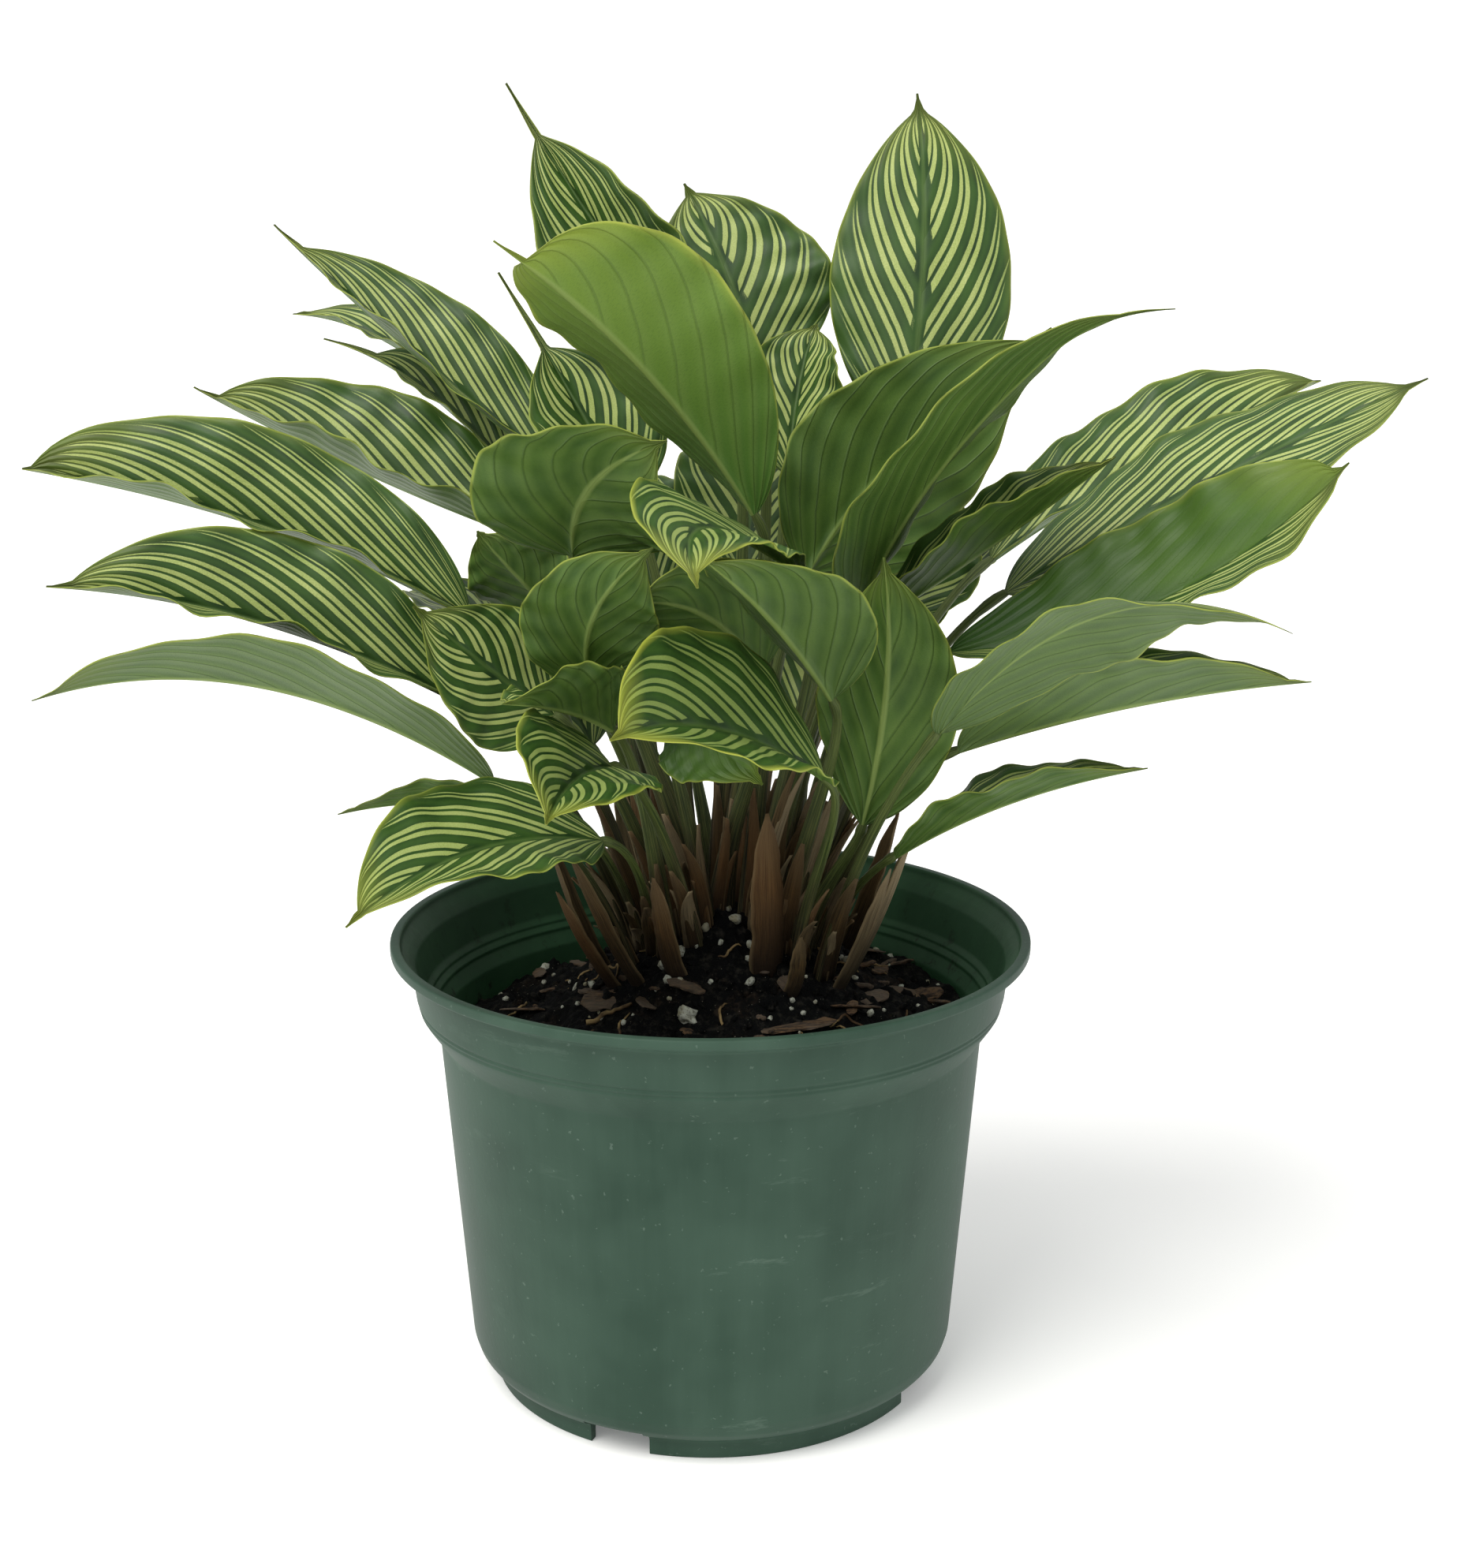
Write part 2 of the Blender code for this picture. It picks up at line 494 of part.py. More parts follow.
def soil_body():
    """The soil before the holes: it fills the pot with a small gap and rises in a mound."""
    mesh = bpy.data.meshes.new("soil")
    shape = bmesh.new()
    bottom = shape.verts.new(Vector((0.0, 0.0, FLOOR_TOP + SOIL_CLEARANCE)) * MM)
    crown = shape.verts.new(Vector((0.0, 0.0, soil_height(0.0, 0.0))) * MM)
    angles = [math.tau * step / SOIL_SEGMENTS for step in range(SOIL_SEGMENTS)]
    rings = []
    for radius, height in POT_CORNER:
        radius -= SOIL_CLEARANCE
        height += SOIL_CLEARANCE
        rings.append([Vector((radius * math.cos(a), radius * math.sin(a), height)) for a in angles])
    edge = wall_inside(SOIL_EDGE_HEIGHT - EDGE_MARGIN) - SOIL_CLEARANCE
    for share in (1.0, *reversed(SOIL_RINGS)):
        ring = []
        for a in angles:
            x, y = edge * share * math.cos(a), edge * share * math.sin(a)
            ring.append(Vector((x, y, soil_height(x, y))))
        rings.append(ring)
    rings = [[shape.verts.new(point * MM) for point in ring] for ring in rings]
    for step in range(SOIL_SEGMENTS):
        after = (step + 1) % SOIL_SEGMENTS
        shape.faces.new((bottom, rings[0][step], rings[0][after]))
        shape.faces.new((crown, rings[-1][after], rings[-1][step]))
        for low, high in zip(rings, rings[1:]):
            shape.faces.new((low[step], high[step], high[after]))
            shape.faces.new((low[step], high[after], low[after]))
    bmesh.ops.recalc_face_normals(shape, faces=shape.faces)
    shape.to_mesh(mesh)
    shape.free()
    return add_object("soil", mesh)


def prism(name, low, high, side, section):
    """A straight prism between two points; section gives its corners as (along side, square to it)."""
    axis = (high - low).normalized()
    along = direction_from(side, axis)
    aside = axis.cross(along)
    mesh = bpy.data.meshes.new(name)
    shape = bmesh.new()
    rows = []
    for end in (low, high):
        rows.append([shape.verts.new((end + along * a + aside * b) * MM) for a, b in section])
    count = len(section)
    for step in range(count):
        after = (step + 1) % count
        shape.faces.new((rows[0][step], rows[0][after], rows[1][after], rows[1][step]))
    shape.faces.new(rows[0])
    shape.faces.new(rows[1])
    bmesh.ops.recalc_face_normals(shape, faces=shape.faces)
    shape.to_mesh(mesh)
    shape.free()
    return add_object(name, mesh)


def ring_centre(ring):
    return sum(ring, Vector()) / len(ring)


def hole_cutter(rings, name):
    """A prism round the buried end of a petiole, a little wider than it."""
    foot = ring_centre(rings[0])
    axis = (ring_centre(rings[1]) - foot).normalized()
    radius = (STEM_RADIUS_LOW + HOLE_CLEARANCE) / math.cos(math.pi / HOLE_SIDES)
    turns = [math.tau * step / HOLE_SIDES for step in range(HOLE_SIDES)]
    section = [(radius * math.cos(turn), radius * math.sin(turn)) for turn in turns]
    low = foot - axis * (HOLE_DEPTH - STEM_DEPTH)
    high = foot + axis * (STEM_DEPTH + HOLE_ABOVE)
    return prism(name, low, high, Vector((1.0, 0.0, 0.0)), section)


def slot_cutter(rings, name):
    """A box round the buried end of a sheath, a little wider than its curled section."""
    foot = ring_centre(rings[0])
    axis = (ring_centre(rings[1]) - foot).normalized()
    side = direction_from(rings[0][4] - rings[0][0], axis)
    aside = axis.cross(side)
    spans = [[(point - foot).dot(way) for point in rings[0] + rings[1]] for way in (side, aside)]
    ends = [(min(span) - SLOT_CLEARANCE, max(span) + SLOT_CLEARANCE) for span in spans]
    (left, right), (near, far) = ends
    section = [(left, near), (right, near), (right, far), (left, far)]
    return prism(name, foot - axis * SLOT_CLEARANCE, foot + axis * SLOT_DEPTH, side, section)


def clear_scene():
    for piece in list(bpy.data.objects):
        bpy.data.objects.remove(piece)


def main():
    clear_scene()
    make_pot()
    cutters = []
    for index, measures in enumerate(LEAVES):
        rings = leaf_rings(measures, index)
        finish(loft("leaf_" + measures.name, rings), (0.07, 0.16, 0.035), 0.45)
        cutters.append(hole_cutter(rings, f"hole_{index}"))
    for index, (place, tip, width) in enumerate(SHEATHS):
        rings = sheath_rings(place, tip, width)
        finish(loft(f"sheath_{index + 1:02d}", rings), (0.09, 0.045, 0.02), 0.8)
        cutters.append(slot_cutter(rings, f"slot_{index}"))
    soil = soil_body()
    cut(soil, cutters)
    finish(soil, (0.012, 0.011, 0.01), 0.95)


main()
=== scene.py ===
"""The looks of a potted calathea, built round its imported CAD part.

Each section makes one piece or group of like pieces, in the order in which the plant is potted.
Sizes are in millimetres and angles in degrees, in the frame of the CAD part: the pot's axis is z and
the floor is at z = 0. Only the studio, at the end, is measured in metres.
"""

import math
import random
from collections import namedtuple

import bmesh
import bpy
import numpy as np
from mathutils import Euler, Matrix, Quaternion, Vector, noise


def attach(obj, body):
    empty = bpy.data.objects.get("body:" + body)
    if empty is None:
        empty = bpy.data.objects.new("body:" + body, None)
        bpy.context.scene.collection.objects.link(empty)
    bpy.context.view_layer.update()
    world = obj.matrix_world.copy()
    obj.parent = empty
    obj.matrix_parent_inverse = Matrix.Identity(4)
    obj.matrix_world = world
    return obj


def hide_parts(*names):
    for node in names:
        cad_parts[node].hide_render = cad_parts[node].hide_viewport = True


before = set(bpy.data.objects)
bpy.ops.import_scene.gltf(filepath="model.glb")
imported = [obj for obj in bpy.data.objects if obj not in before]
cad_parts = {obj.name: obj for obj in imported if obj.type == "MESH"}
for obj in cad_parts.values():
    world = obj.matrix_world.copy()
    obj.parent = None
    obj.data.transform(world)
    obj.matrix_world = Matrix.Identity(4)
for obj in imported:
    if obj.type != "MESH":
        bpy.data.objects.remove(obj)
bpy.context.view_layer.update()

# Nursery pot: injection-moulded grey-green polypropylene, matt and a little dusty from the bench.
# One shell with a flat rolled rim, a collar that lets pots nest, a double step at the shoulder and
# a foot ring cut by drainage notches.

MM = 0.001
POT_HEIGHT = 184.0
RIM_RADIUS = 127.0
FOOT_RADIUS = 89.0
FOOT_WIDTH = 4.0
FLOOR_UNDER = 8.5
FLOOR_TOP = 11.0
FLOOR_RADIUS = 88.0
FLOOR_CORNER = (93.5, 13.0)
CORNER_TOP = 20.0
SHOULDER_HEIGHT = 150.0
WALL_INSIDE_LOW = 96.0
WALL_INSIDE_HIGH = 106.0
POT_SEGMENTS = 180
LIP_ROUNDING = 0.9
LIP_STEPS = 3
MOST_OF_EDGE = 0.45
SHARP_ANGLE = 38.0
LEVEL_FACE = 0.95
NOTCH_COUNT = 4
NOTCH_WIDTH = 25.0
NOTCH_HEIGHT = 12.0
NOTCH_DEPTH = 22.0
NOTCH_BELOW = 4.0
NOTCH_CENTRE = 95.0
NOTCH_FIRST_ANGLE = -113.7

# Corners of the pot's section as (radius, height): up the inside to the rim, and down the outside.
POT_INSIDE = (
    (0.0, FLOOR_TOP), (FLOOR_RADIUS, FLOOR_TOP), FLOOR_CORNER, (WALL_INSIDE_LOW, CORNER_TOP),
    (WALL_INSIDE_HIGH, SHOULDER_HEIGHT), (109.6, 155.2), (109.4, 156.6), (111.6, 158.4),
    (111.6, 159.6), (113.8, 161.4), (117.2, 175.0), (119.8, 178.6), (122.6, 181.6), (123.2, POT_HEIGHT),
)
POT_OUTSIDE = (
    (RIM_RADIUS, POT_HEIGHT), (RIM_RADIUS, 180.0), (123.5, 179.2), (119.2, 176.5),
    (117.2, 161.4), (116.3, 160.4), (116.8, 159.4), (115.9, 158.4), (116.2, 157.4),
    (115.0, 155.4), (112.2, 151.4), (108.4, 146.0), (98.2, 18.0), (96.8, 13.6), (94.4, 10.6),
    (91.2, 8.9), (89.4, 7.6), (FOOT_RADIUS, 6.2), (FOOT_RADIUS, 0.0),
    (FOOT_RADIUS - FOOT_WIDTH, 0.0), (FOOT_RADIUS - FOOT_WIDTH, FLOOR_UNDER), (0.0, FLOOR_UNDER),
)


def paint(red, green, blue):
    """A colour given as it looks on a screen, from 0 to 255, in the linear light that shaders use."""
    return (*(((value / 255.0 + 0.055) / 1.055) ** 2.4 for value in (red, green, blue)), 1.0)


class Wire:
    """A value that varies over a surface. Arithmetic on it adds Math nodes to its material."""

    def __init__(self, tree, socket):
        self.tree = tree
        self.socket = socket

    def math(self, operation, *others, clamp=False):
        """The outcome of a Math node on this value and any others."""
        node = self.tree.nodes.new("ShaderNodeMath")
        node.operation = operation
        node.use_clamp = clamp
        for place, value in zip(node.inputs, (self, *others)):
            join(self.tree, value, place)
        return Wire(self.tree, node.outputs[0])

    def __add__(self, other):
        return self.math("ADD", other)

    def __mul__(self, other):
        return self.math("MULTIPLY", other)

    def __sub__(self, other):
        return self.math("SUBTRACT", other)

    def __rsub__(self, other):
        return self.math("MULTIPLY", -1.0) + other

    def __truediv__(self, other):
        return self.math("DIVIDE", other)

    def __pow__(self, other):
        return self.math("POWER", other)

    def __abs__(self):
        return self.math("ABSOLUTE")

    __radd__ = __add__
    __rmul__ = __mul__

    def above(self, edge, soft):
        """1 where this value is over the edge and 0 below it, with a soft step between."""
        return ((self - edge) / soft).math("ADD", 0.5, clamp=True)

    def below(self, edge, soft):
        return 1.0 - self.above(edge, soft)

    def clamped(self):
        """This value, held between 0 and 1."""
        return self.math("ADD", 0.0, clamp=True)


def join(tree, value, socket):
    """Gives a socket a plain value, or links a wire to it."""
    if isinstance(value, Wire):
        tree.links.new(value.socket, socket)
    else:
        socket.default_value = value


class Finish:
    """A material in the making: a Principled shader, and nodes that vary its colour and relief."""

    def __init__(self, name, **constants):
        self.material = bpy.data.materials.new(name)
        self.material.use_nodes = True
        self.tree = self.material.node_tree
        self.shader = self.tree.nodes["Principled BSDF"]
        self.set(**constants)

    def set(self, **values):
        """Sets or links the shader's sockets: base_color for Base Color, and so on."""
        for name, value in values.items():
            socket = name.replace("_", " ").title().replace("Ior", "IOR")
            join(self.tree, value, self.shader.inputs[socket])

    def node(self, kind, settings, sockets, output=0):
        """Adds one node: its settings first, then the value or link of each socket."""
        node = self.tree.nodes.new("ShaderNode" + kind)
        for name, value in settings.items():
            setattr(node, name, value)
        for name, value in sockets.items():
            join(self.tree, value, node.inputs[name])
        return Wire(self.tree, node.outputs[output])

    def mix(self, first, second, share):
        """A colour between two, at a share that may vary."""
        return self.node("Mix", {"data_type": "RGBA"}, {0: share, 6: first, 7: second}, output=2)

    def object_place(self):
        """The place on the object, in metres."""
        return self.node("TexCoord", {}, {}, output="Object")

    def noise(self, place, scale, detail=3.0, roughness=0.5):
        """Cloudy noise from 0 to 1, or grain that runs one way where each axis has its own scale."""
        if isinstance(scale, tuple):
            place = self.node("VectorMath", {"operation": "MULTIPLY"}, {0: place, 1: scale})
            scale = 1.0
        sockets = {"Vector": place, "Scale": scale, "Detail": detail, "Roughness": roughness}
        return self.node("TexNoise", {}, sockets)

    def relief(self, height, depth, strength):
        """Bumps from a height without a unit, which is multiplied by a depth in metres."""
        bump = self.node("Bump", {}, {"Strength": strength, "Distance": depth, "Height": height})
        self.set(normal=bump)


def rounded(corners, rounding):
    """An outline with every corner turned into a short curve, which takes only part of each edge."""
    points = [Vector(corner) for corner in corners]
    outline = [points[0]]
    for before, corner, after in zip(points, points[1:], points[2:]):
        shorter = min((before - corner).length, (after - corner).length)
        reach = min(rounding, shorter * MOST_OF_EDGE)
        start = corner + (before - corner).normalized() * reach
        end = corner + (after - corner).normalized() * reach
        for step in range(LIP_STEPS + 1):
            t = step / LIP_STEPS
            outline.append(start * (1 - t) ** 2 + corner * (2 * t * (1 - t)) + end * t**2)
    return outline + [points[-1]]


def add_object(name, data):
    """An object in the scene that holds a mesh, a lamp or a camera."""
    thing = bpy.data.objects.new(name, data)
    bpy.context.scene.collection.objects.link(thing)
    return thing


def add_piece(name, points, faces, finishes):
    """A mesh object from points in millimetres, shaded smooth."""
    mesh = bpy.data.meshes.new(name)
    mesh.from_pydata([tuple(value * MM for value in point) for point in points], [], faces)
    for finish in finishes:
        mesh.materials.append(finish.material)
    mesh.shade_smooth()
    return add_object(name, mesh)


def ring_of(radius, height, segments):
    """Points spaced evenly round the pot's axis."""
    turns = [math.tau * step / segments for step in range(segments)]
    return [(radius * math.cos(turn), radius * math.sin(turn), height) for turn in turns]


def round_solid(name, start_height, end_height, rings, finishes):
    """A closed solid through rings of points, which starts and ends in a point on the axis."""
    segments = len(rings[0])
    points = [(0.0, 0.0, start_height), (0.0, 0.0, end_height)]
    points.extend(point for ring in rings for point in ring)
    last = len(points) - segments
    faces = []
    for step in range(segments):
        after = (step + 1) % segments
        faces.append((0, 2 + step, 2 + after))
        faces.append((1, last + after, last + step))
        for low in range(2, last, segments):
            high = low + segments
            faces.append((low + step, high + step, high + after, low + after))
    return add_piece(name, points, faces, finishes)


def cut_notches(pot):
    """Cuts the drainage notches out of the foot ring with blocks that reach below the pot."""
    shape = bmesh.new()
    for number in range(NOTCH_COUNT):
        angle = math.radians(NOTCH_FIRST_ANGLE + 360.0 * number / NOTCH_COUNT)
        middle = (NOTCH_HEIGHT - NOTCH_BELOW) * 0.5
        centre = Vector((NOTCH_CENTRE * math.cos(angle), NOTCH_CENTRE * math.sin(angle), middle))
        size = [side * MM for side in (NOTCH_DEPTH, NOTCH_WIDTH, NOTCH_HEIGHT + NOTCH_BELOW)]
        turn = Matrix.Rotation(angle, 4, "Z")
        place = Matrix.Translation(centre * MM) @ turn @ Matrix.Diagonal((*size, 1.0))
        bmesh.ops.create_cube(shape, size=1.0, matrix=place)
    mesh = bpy.data.meshes.new("notches")
    shape.to_mesh(mesh)
    shape.free()
    notches = add_object("notches", mesh)
    cut = pot.modifiers.new("notches", "BOOLEAN")
    cut.object = notches
    cut.solver = "EXACT"
    bpy.context.view_layer.update()
    whole = pot.evaluated_get(bpy.context.evaluated_depsgraph_get())
    pot.data = bpy.data.meshes.new_from_object(whole)
    pot.modifiers.clear()
    bpy.data.objects.remove(notches)
    pot.data.set_sharp_from_angle(angle=math.radians(SHARP_ANGLE))


def outside_finish():
    """Moulded plastic: cloudy grey-green, dusty in places, finely grained, with upright draw marks."""
    finish = Finish("moulded_green_plastic", specular_ior_level=0.14)
    place = finish.object_place()
    clouds = finish.noise(place, 9.0, 4.0, 0.6)
    drawn = finish.noise(place, (60.0, 60.0, 2.5), 5.0, 0.65)
    specks = finish.noise(place, 420.0, 2.0)
    height = finish.node("SeparateXYZ", {}, {"Vector": place}, output="Z")
    dust = (clouds * 0.6 + drawn * 0.4 + height * 0.6).above(0.66, 0.4)
    rubbed = finish.noise(place, (16.0, 16.0, 80.0), 6.0, 0.75)
    scuffs = rubbed.above(0.64, 0.06) * clouds.above(0.5, 0.2)
    plastic = finish.mix(paint(42, 64, 52), paint(53, 76, 63), clouds.above(0.5, 0.3))
    dusty = finish.mix(plastic, paint(74, 96, 83), dust * 0.6)
    scuffed = finish.mix(dusty, paint(112, 130, 118), scuffs * 0.22)
    worn = finish.mix(scuffed, paint(112, 130, 118), specks.above(0.72, 0.05) * 0.3)
    finish.set(base_color=worn, roughness=0.46 + dust * 0.16 + scuffs * 0.08)
    finish.relief(specks * 0.5 + drawn * 0.5 + scuffs * 0.2, 0.00025, 0.5)
    return finish


def inside_finish():
    """The same plastic inside the pot, painted darker and deeper green as the shade inside it, and splashed
    and stained with soil.
    """
    finish = Finish("shaded_green_plastic", specular_ior_level=0.14)
    place = finish.object_place()
    clouds = finish.noise(place, 14.0, 4.0, 0.6)
    dirt = finish.noise(place, (110.0, 110.0, 70.0), 5.0, 0.7)
    height = finish.node("SeparateXYZ", {}, {"Vector": place}, output="Z")
    low = height.below(0.160, 0.03)
    # Painted shade: the inside's greens are darker and deeper than the outside's.
    plastic = finish.mix(paint(36, 68, 44), paint(48, 82, 56), clouds.above(0.5, 0.3))
    stained = finish.mix(plastic, paint(24, 26, 18), dirt.above(0.62, 0.08) * (low * 0.7 + 0.2))
    finish.set(base_color=stained, roughness=0.42 + dirt * 0.2)
    finish.relief(dirt, 0.0003, 0.5)
    return finish


def paint_inside(pot):
    """Gives the inner finish, with its painted shade, to the inside of the wall: the faces that look at the
    pot's axis.
    """
    for face in pot.data.polygons:
        inward = face.normal.x * face.center.x + face.normal.y * face.center.y < 0.0
        if inward and face.center.z > FLOOR_TOP * MM and face.normal.z < LEVEL_FACE:
            face.material_index = 1


outline = rounded(POT_INSIDE + POT_OUTSIDE, LIP_ROUNDING)
rings = [ring_of(radius, height, POT_SEGMENTS) for radius, height in outline[1:-1]]
pot_finishes = [outside_finish(), inside_finish()]
pot = round_solid("nursery_pot", outline[0].y, outline[-1].y, rings, pot_finishes)
cut_notches(pot)
paint_inside(pot)
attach(pot, "root")
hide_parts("pot")

# Potting soil: black peat and composted bark, filled to below the rim and mounded round the stems.
# It is loose crumbs, so its surface is lumpy at every size.

SOIL_CLEARANCE = 0.4
SOIL_EDGE_HEIGHT = 141.0
SOIL_EDGE_DROP = 8.0
SOIL_TILT = 0.04
MOUND_RISE = 45.0
MOUND_CENTRE = (5.0, 16.0)
MOUND_SPREAD = (58.0, 56.0)
LUMP_SIZE = 1.6
LUMP_PITCH = (0.09, 0.11)
LUMP_START = (1.3, -0.4)
SOIL_SEGMENTS = 300
SOIL_RINGS = 130
CRUMB_RELIEF = ((0.04, 3.4), (0.1, 2.8), (0.24, 2.2), (0.5, 1.1))


def soil_height(x, y):
    """Height of the smooth soil: a mound round the stems, with low lumps."""
    across = (x - MOUND_CENTRE[0]) / MOUND_SPREAD[0]
    along = (y - MOUND_CENTRE[1]) / MOUND_SPREAD[1]
    mound = MOUND_RISE * math.exp(-(across**2 + along**2))
    waves = math.sin(x * LUMP_PITCH[0] + LUMP_START[0]), math.cos(y * LUMP_PITCH[1] + LUMP_START[1])
    return SOIL_EDGE_HEIGHT + SOIL_TILT * x + mound + LUMP_SIZE * waves[0] * waves[1]


def crumbly_height(x, y):
    """Height of the soil with its crumbs, which are of several sizes."""
    crumbs = (depth * noise.noise(Vector((x * pitch, y * pitch, depth))) for pitch, depth in CRUMB_RELIEF)
    return soil_height(x, y) + sum(crumbs)


def wall_inside(height):
    """Inner radius of the pot's straight wall at a height."""
    rise = (height - CORNER_TOP) / (SHOULDER_HEIGHT - CORNER_TOP)
    return WALL_INSIDE_LOW + (WALL_INSIDE_HIGH - WALL_INSIDE_LOW) * rise


def soil_finish():
    """Black peat with brown bark crumbs, dull, near-black in the hollows between crumbs as painted shade,
    with pale specks that are partly mineral grit and partly painted glints.
    """
    finish = Finish("peat_and_bark", specular_ior_level=0.12)
    place = finish.object_place()
    crumb = finish.noise(place, 260.0, 5.0, 0.7)
    patches = finish.noise(place, 60.0, 3.0, 0.6)
    grit_and_glints = finish.node("TexVoronoi", {}, {"Vector": place, "Scale": 520.0})
    # Painted shade: the peat is near-black where the crumb noise is low, which the bump below sinks into
    # hollows, and lighter on the raised crumbs.
    peat = finish.mix(paint(4, 5, 6), paint(40, 38, 34), crumb.above(0.6, 0.16))
    bark = finish.mix(peat, paint(50, 38, 28), patches.above(0.62, 0.08) * crumb.above(0.52, 0.2) * 0.5)
    # Pale specks: partly mineral grit, partly painted glints on the crumbs.
    pale = finish.mix(bark, paint(150, 146, 132), grit_and_glints.below(0.09, 0.03) * patches.above(0.53, 0.05) * 0.6)
    finish.set(base_color=pale, roughness=0.82 + crumb * 0.15)
    finish.relief(crumb * 0.7 + patches * 0.3, 0.0026, 1.0)
    return finish


def soil_piece():
    """The soil: its crumbly top, and plain sides and underside that lie against the pot.

    The pot widens upwards, so the edge is only as wide as the wall is where the crumbs dip lowest.
    """
    edge = wall_inside(SOIL_EDGE_HEIGHT - SOIL_EDGE_DROP) - SOIL_CLEARANCE
    rings = []
    for ring in range(1, SOIL_RINGS + 1):
        level = ring_of(edge * ring / SOIL_RINGS, 0.0, SOIL_SEGMENTS)
        rings.append([(x, y, crumbly_height(x, y)) for x, y, _ in level])
    for radius, height in ((WALL_INSIDE_LOW, CORNER_TOP), FLOOR_CORNER, (FLOOR_RADIUS, FLOOR_TOP)):
        rings.append(ring_of(radius - SOIL_CLEARANCE, height + SOIL_CLEARANCE, SOIL_SEGMENTS))
    underside = FLOOR_TOP + SOIL_CLEARANCE
    return round_solid("potting_soil", soil_height(0.0, 0.0), underside, rings, [peat])


peat = soil_finish()
soil = soil_piece()
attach(soil, "root")
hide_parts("soil")

# Perlite and lime: white puffed mineral grains mixed into the soil, rounded, chalky and rough.
# They lie half sunk where watering has washed the peat off them.

PERLITE_SEED = 7
PERLITE_COUNT = 110
PERLITE_SIZE = (0.7, 2.1)
PERLITE_RAISED = 0.35
GRAIN_SWELL_PITCH = 1.6
GRAIN_PIT_PITCH = 4.5
GRAIN_STRETCH = 1.15
FINE_MESH_OVER = 2.4
CLUMP_STRETCH = 1.3
LIME_LUMP = (-9, -33, 4.2)
LIME_SEED = 3.1
LIME_FLATNESS = 0.7
LIME_ROUGHNESS = 0.75
LIME_RAISED = 0.3

# The grains that show most, as (x, y, size). The rest are strewn by chance.
PERLITE_SEEN = (
    (10, 3, 2.5), (16, -6, 1.9), (-2, 0, 1.9), (4, -7, 1.2), (-12, -6, 2.3), (-19, -10, 2.3),
    (-17, -18, 1.9), (-12, -20, 1.7), (15, -12, 1.5), (0, -21, 1.2), (-6, -6, 1.2), (51, -8, 1.3),
    (58, 4, 1.3), (63, -16, 1.6), (55, 13, 1.6), (32, -26, 1.2), (36, -32, 1.2), (23, -36, 1.2),
    (-34, -31, 1.2), (41, -26, 1.0), (69, -9, 1.0), (7, 14, 1.6),
)


def lump(centre, size, seed, flat=0.8, rough=0.28):
    """Points and faces of one rounded, pitted grain, with a finer mesh where it is large."""
    shape = bmesh.new()
    bmesh.ops.create_icosphere(shape, subdivisions=3 if size > FINE_MESH_OVER else 2, radius=1.0)
    turn = Euler((seed * 1.3, seed * 2.1, seed * 0.7)).to_matrix()
    points = []
    for vertex in shape.verts:
        swell = 1.0 + rough * noise.noise(vertex.co * GRAIN_SWELL_PITCH + Vector((seed, 0.0, 0.0)))
        swell += rough * 0.5 * noise.noise(vertex.co * GRAIN_PIT_PITCH + Vector((0.0, seed, 0.0)))
        point = Vector((vertex.co.x * GRAIN_STRETCH, vertex.co.y, vertex.co.z * flat))
        points.append(centre + turn @ point * (size * swell))
    shape.verts.index_update()
    faces = [tuple(vertex.index for vertex in face.verts) for face in shape.faces]
    shape.free()
    return points, faces


def gather(parts):
    """One list of points and one of faces from the parts of a piece."""
    points, faces = [], []
    for part_points, part_faces in parts:
        start = len(points)
        points.extend(part_points)
        faces.extend(tuple(start + place for place in face) for face in part_faces)
    return points, faces


def between(ends, share):
    """The value at a share of the way from one end to the other."""
    return ends[0] + (ends[1] - ends[0]) * share


def on_soil(x, y, raised):
    """A point raised over the crumbs of the soil, or sunk in them where raised is negative."""
    return Vector((x, y, crumbly_height(x, y) + raised))


def soil_spots(count, seed, nearest=30.0, farthest=100.0):
    """Places strewn over the open soil, outside the clump of stems, each with a chance share."""
    chance = random.Random(seed)
    spots = []
    while len(spots) < count:
        x, y = chance.uniform(-farthest, farthest), chance.uniform(-farthest, farthest)
        from_clump = math.hypot((x - MOUND_CENTRE[0]) / CLUMP_STRETCH, y - MOUND_CENTRE[1])
        if math.hypot(x, y) < farthest and from_clump > nearest:
            spots.append((x, y, chance.random()))
    return spots


def perlite_finish():
    """Chalky white grains, pitted, and stained by the peat."""
    finish = Finish("perlite", specular_ior_level=0.3)
    place = finish.object_place()
    pits = finish.noise(place, 900.0, 4.0, 0.7)
    stain = finish.noise(place, 120.0, 2.0)
    clean = finish.mix(paint(176, 178, 166), paint(104, 102, 90), pits.below(0.44, 0.12))
    stained = finish.mix(clean, paint(128, 118, 84), stain.above(0.56, 0.12) * 0.6)
    finish.set(base_color=stained, roughness=0.9)
    finish.relief(pits, 0.0004, 0.8)
    return finish


grains = list(PERLITE_SEEN)
for x, y, share in soil_spots(PERLITE_COUNT, PERLITE_SEED):
    grains.append((x, y, between(PERLITE_SIZE, share**3)))
grain_parts = []
for place, (x, y, size) in enumerate(grains):
    grain_parts.append(lump(on_soil(x, y, size * PERLITE_RAISED), size, place * 0.37))
x, y, size = LIME_LUMP
centre = on_soil(x, y, size * LIME_RAISED)
grain_parts.append(lump(centre, size, LIME_SEED, LIME_FLATNESS, LIME_ROUGHNESS))
perlite = add_piece("perlite_grains", *gather(grain_parts), [perlite_finish()])
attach(perlite, "root")

# Peat crumbs: loose clods of the same black peat, broken off when the plant was potted and watered.
# They have rolled down the mound and lie a little sunk in the surface.

CLOD_SEED = 5
CLOD_COUNT = 330
CLOD_SIZE = (1.1, 3.6)
CLOD_RAISED = -0.2
CLOD_FLATNESS = 0.7
CLOD_ROUGHNESS = 0.6
CLOD_NEAREST = 20.0

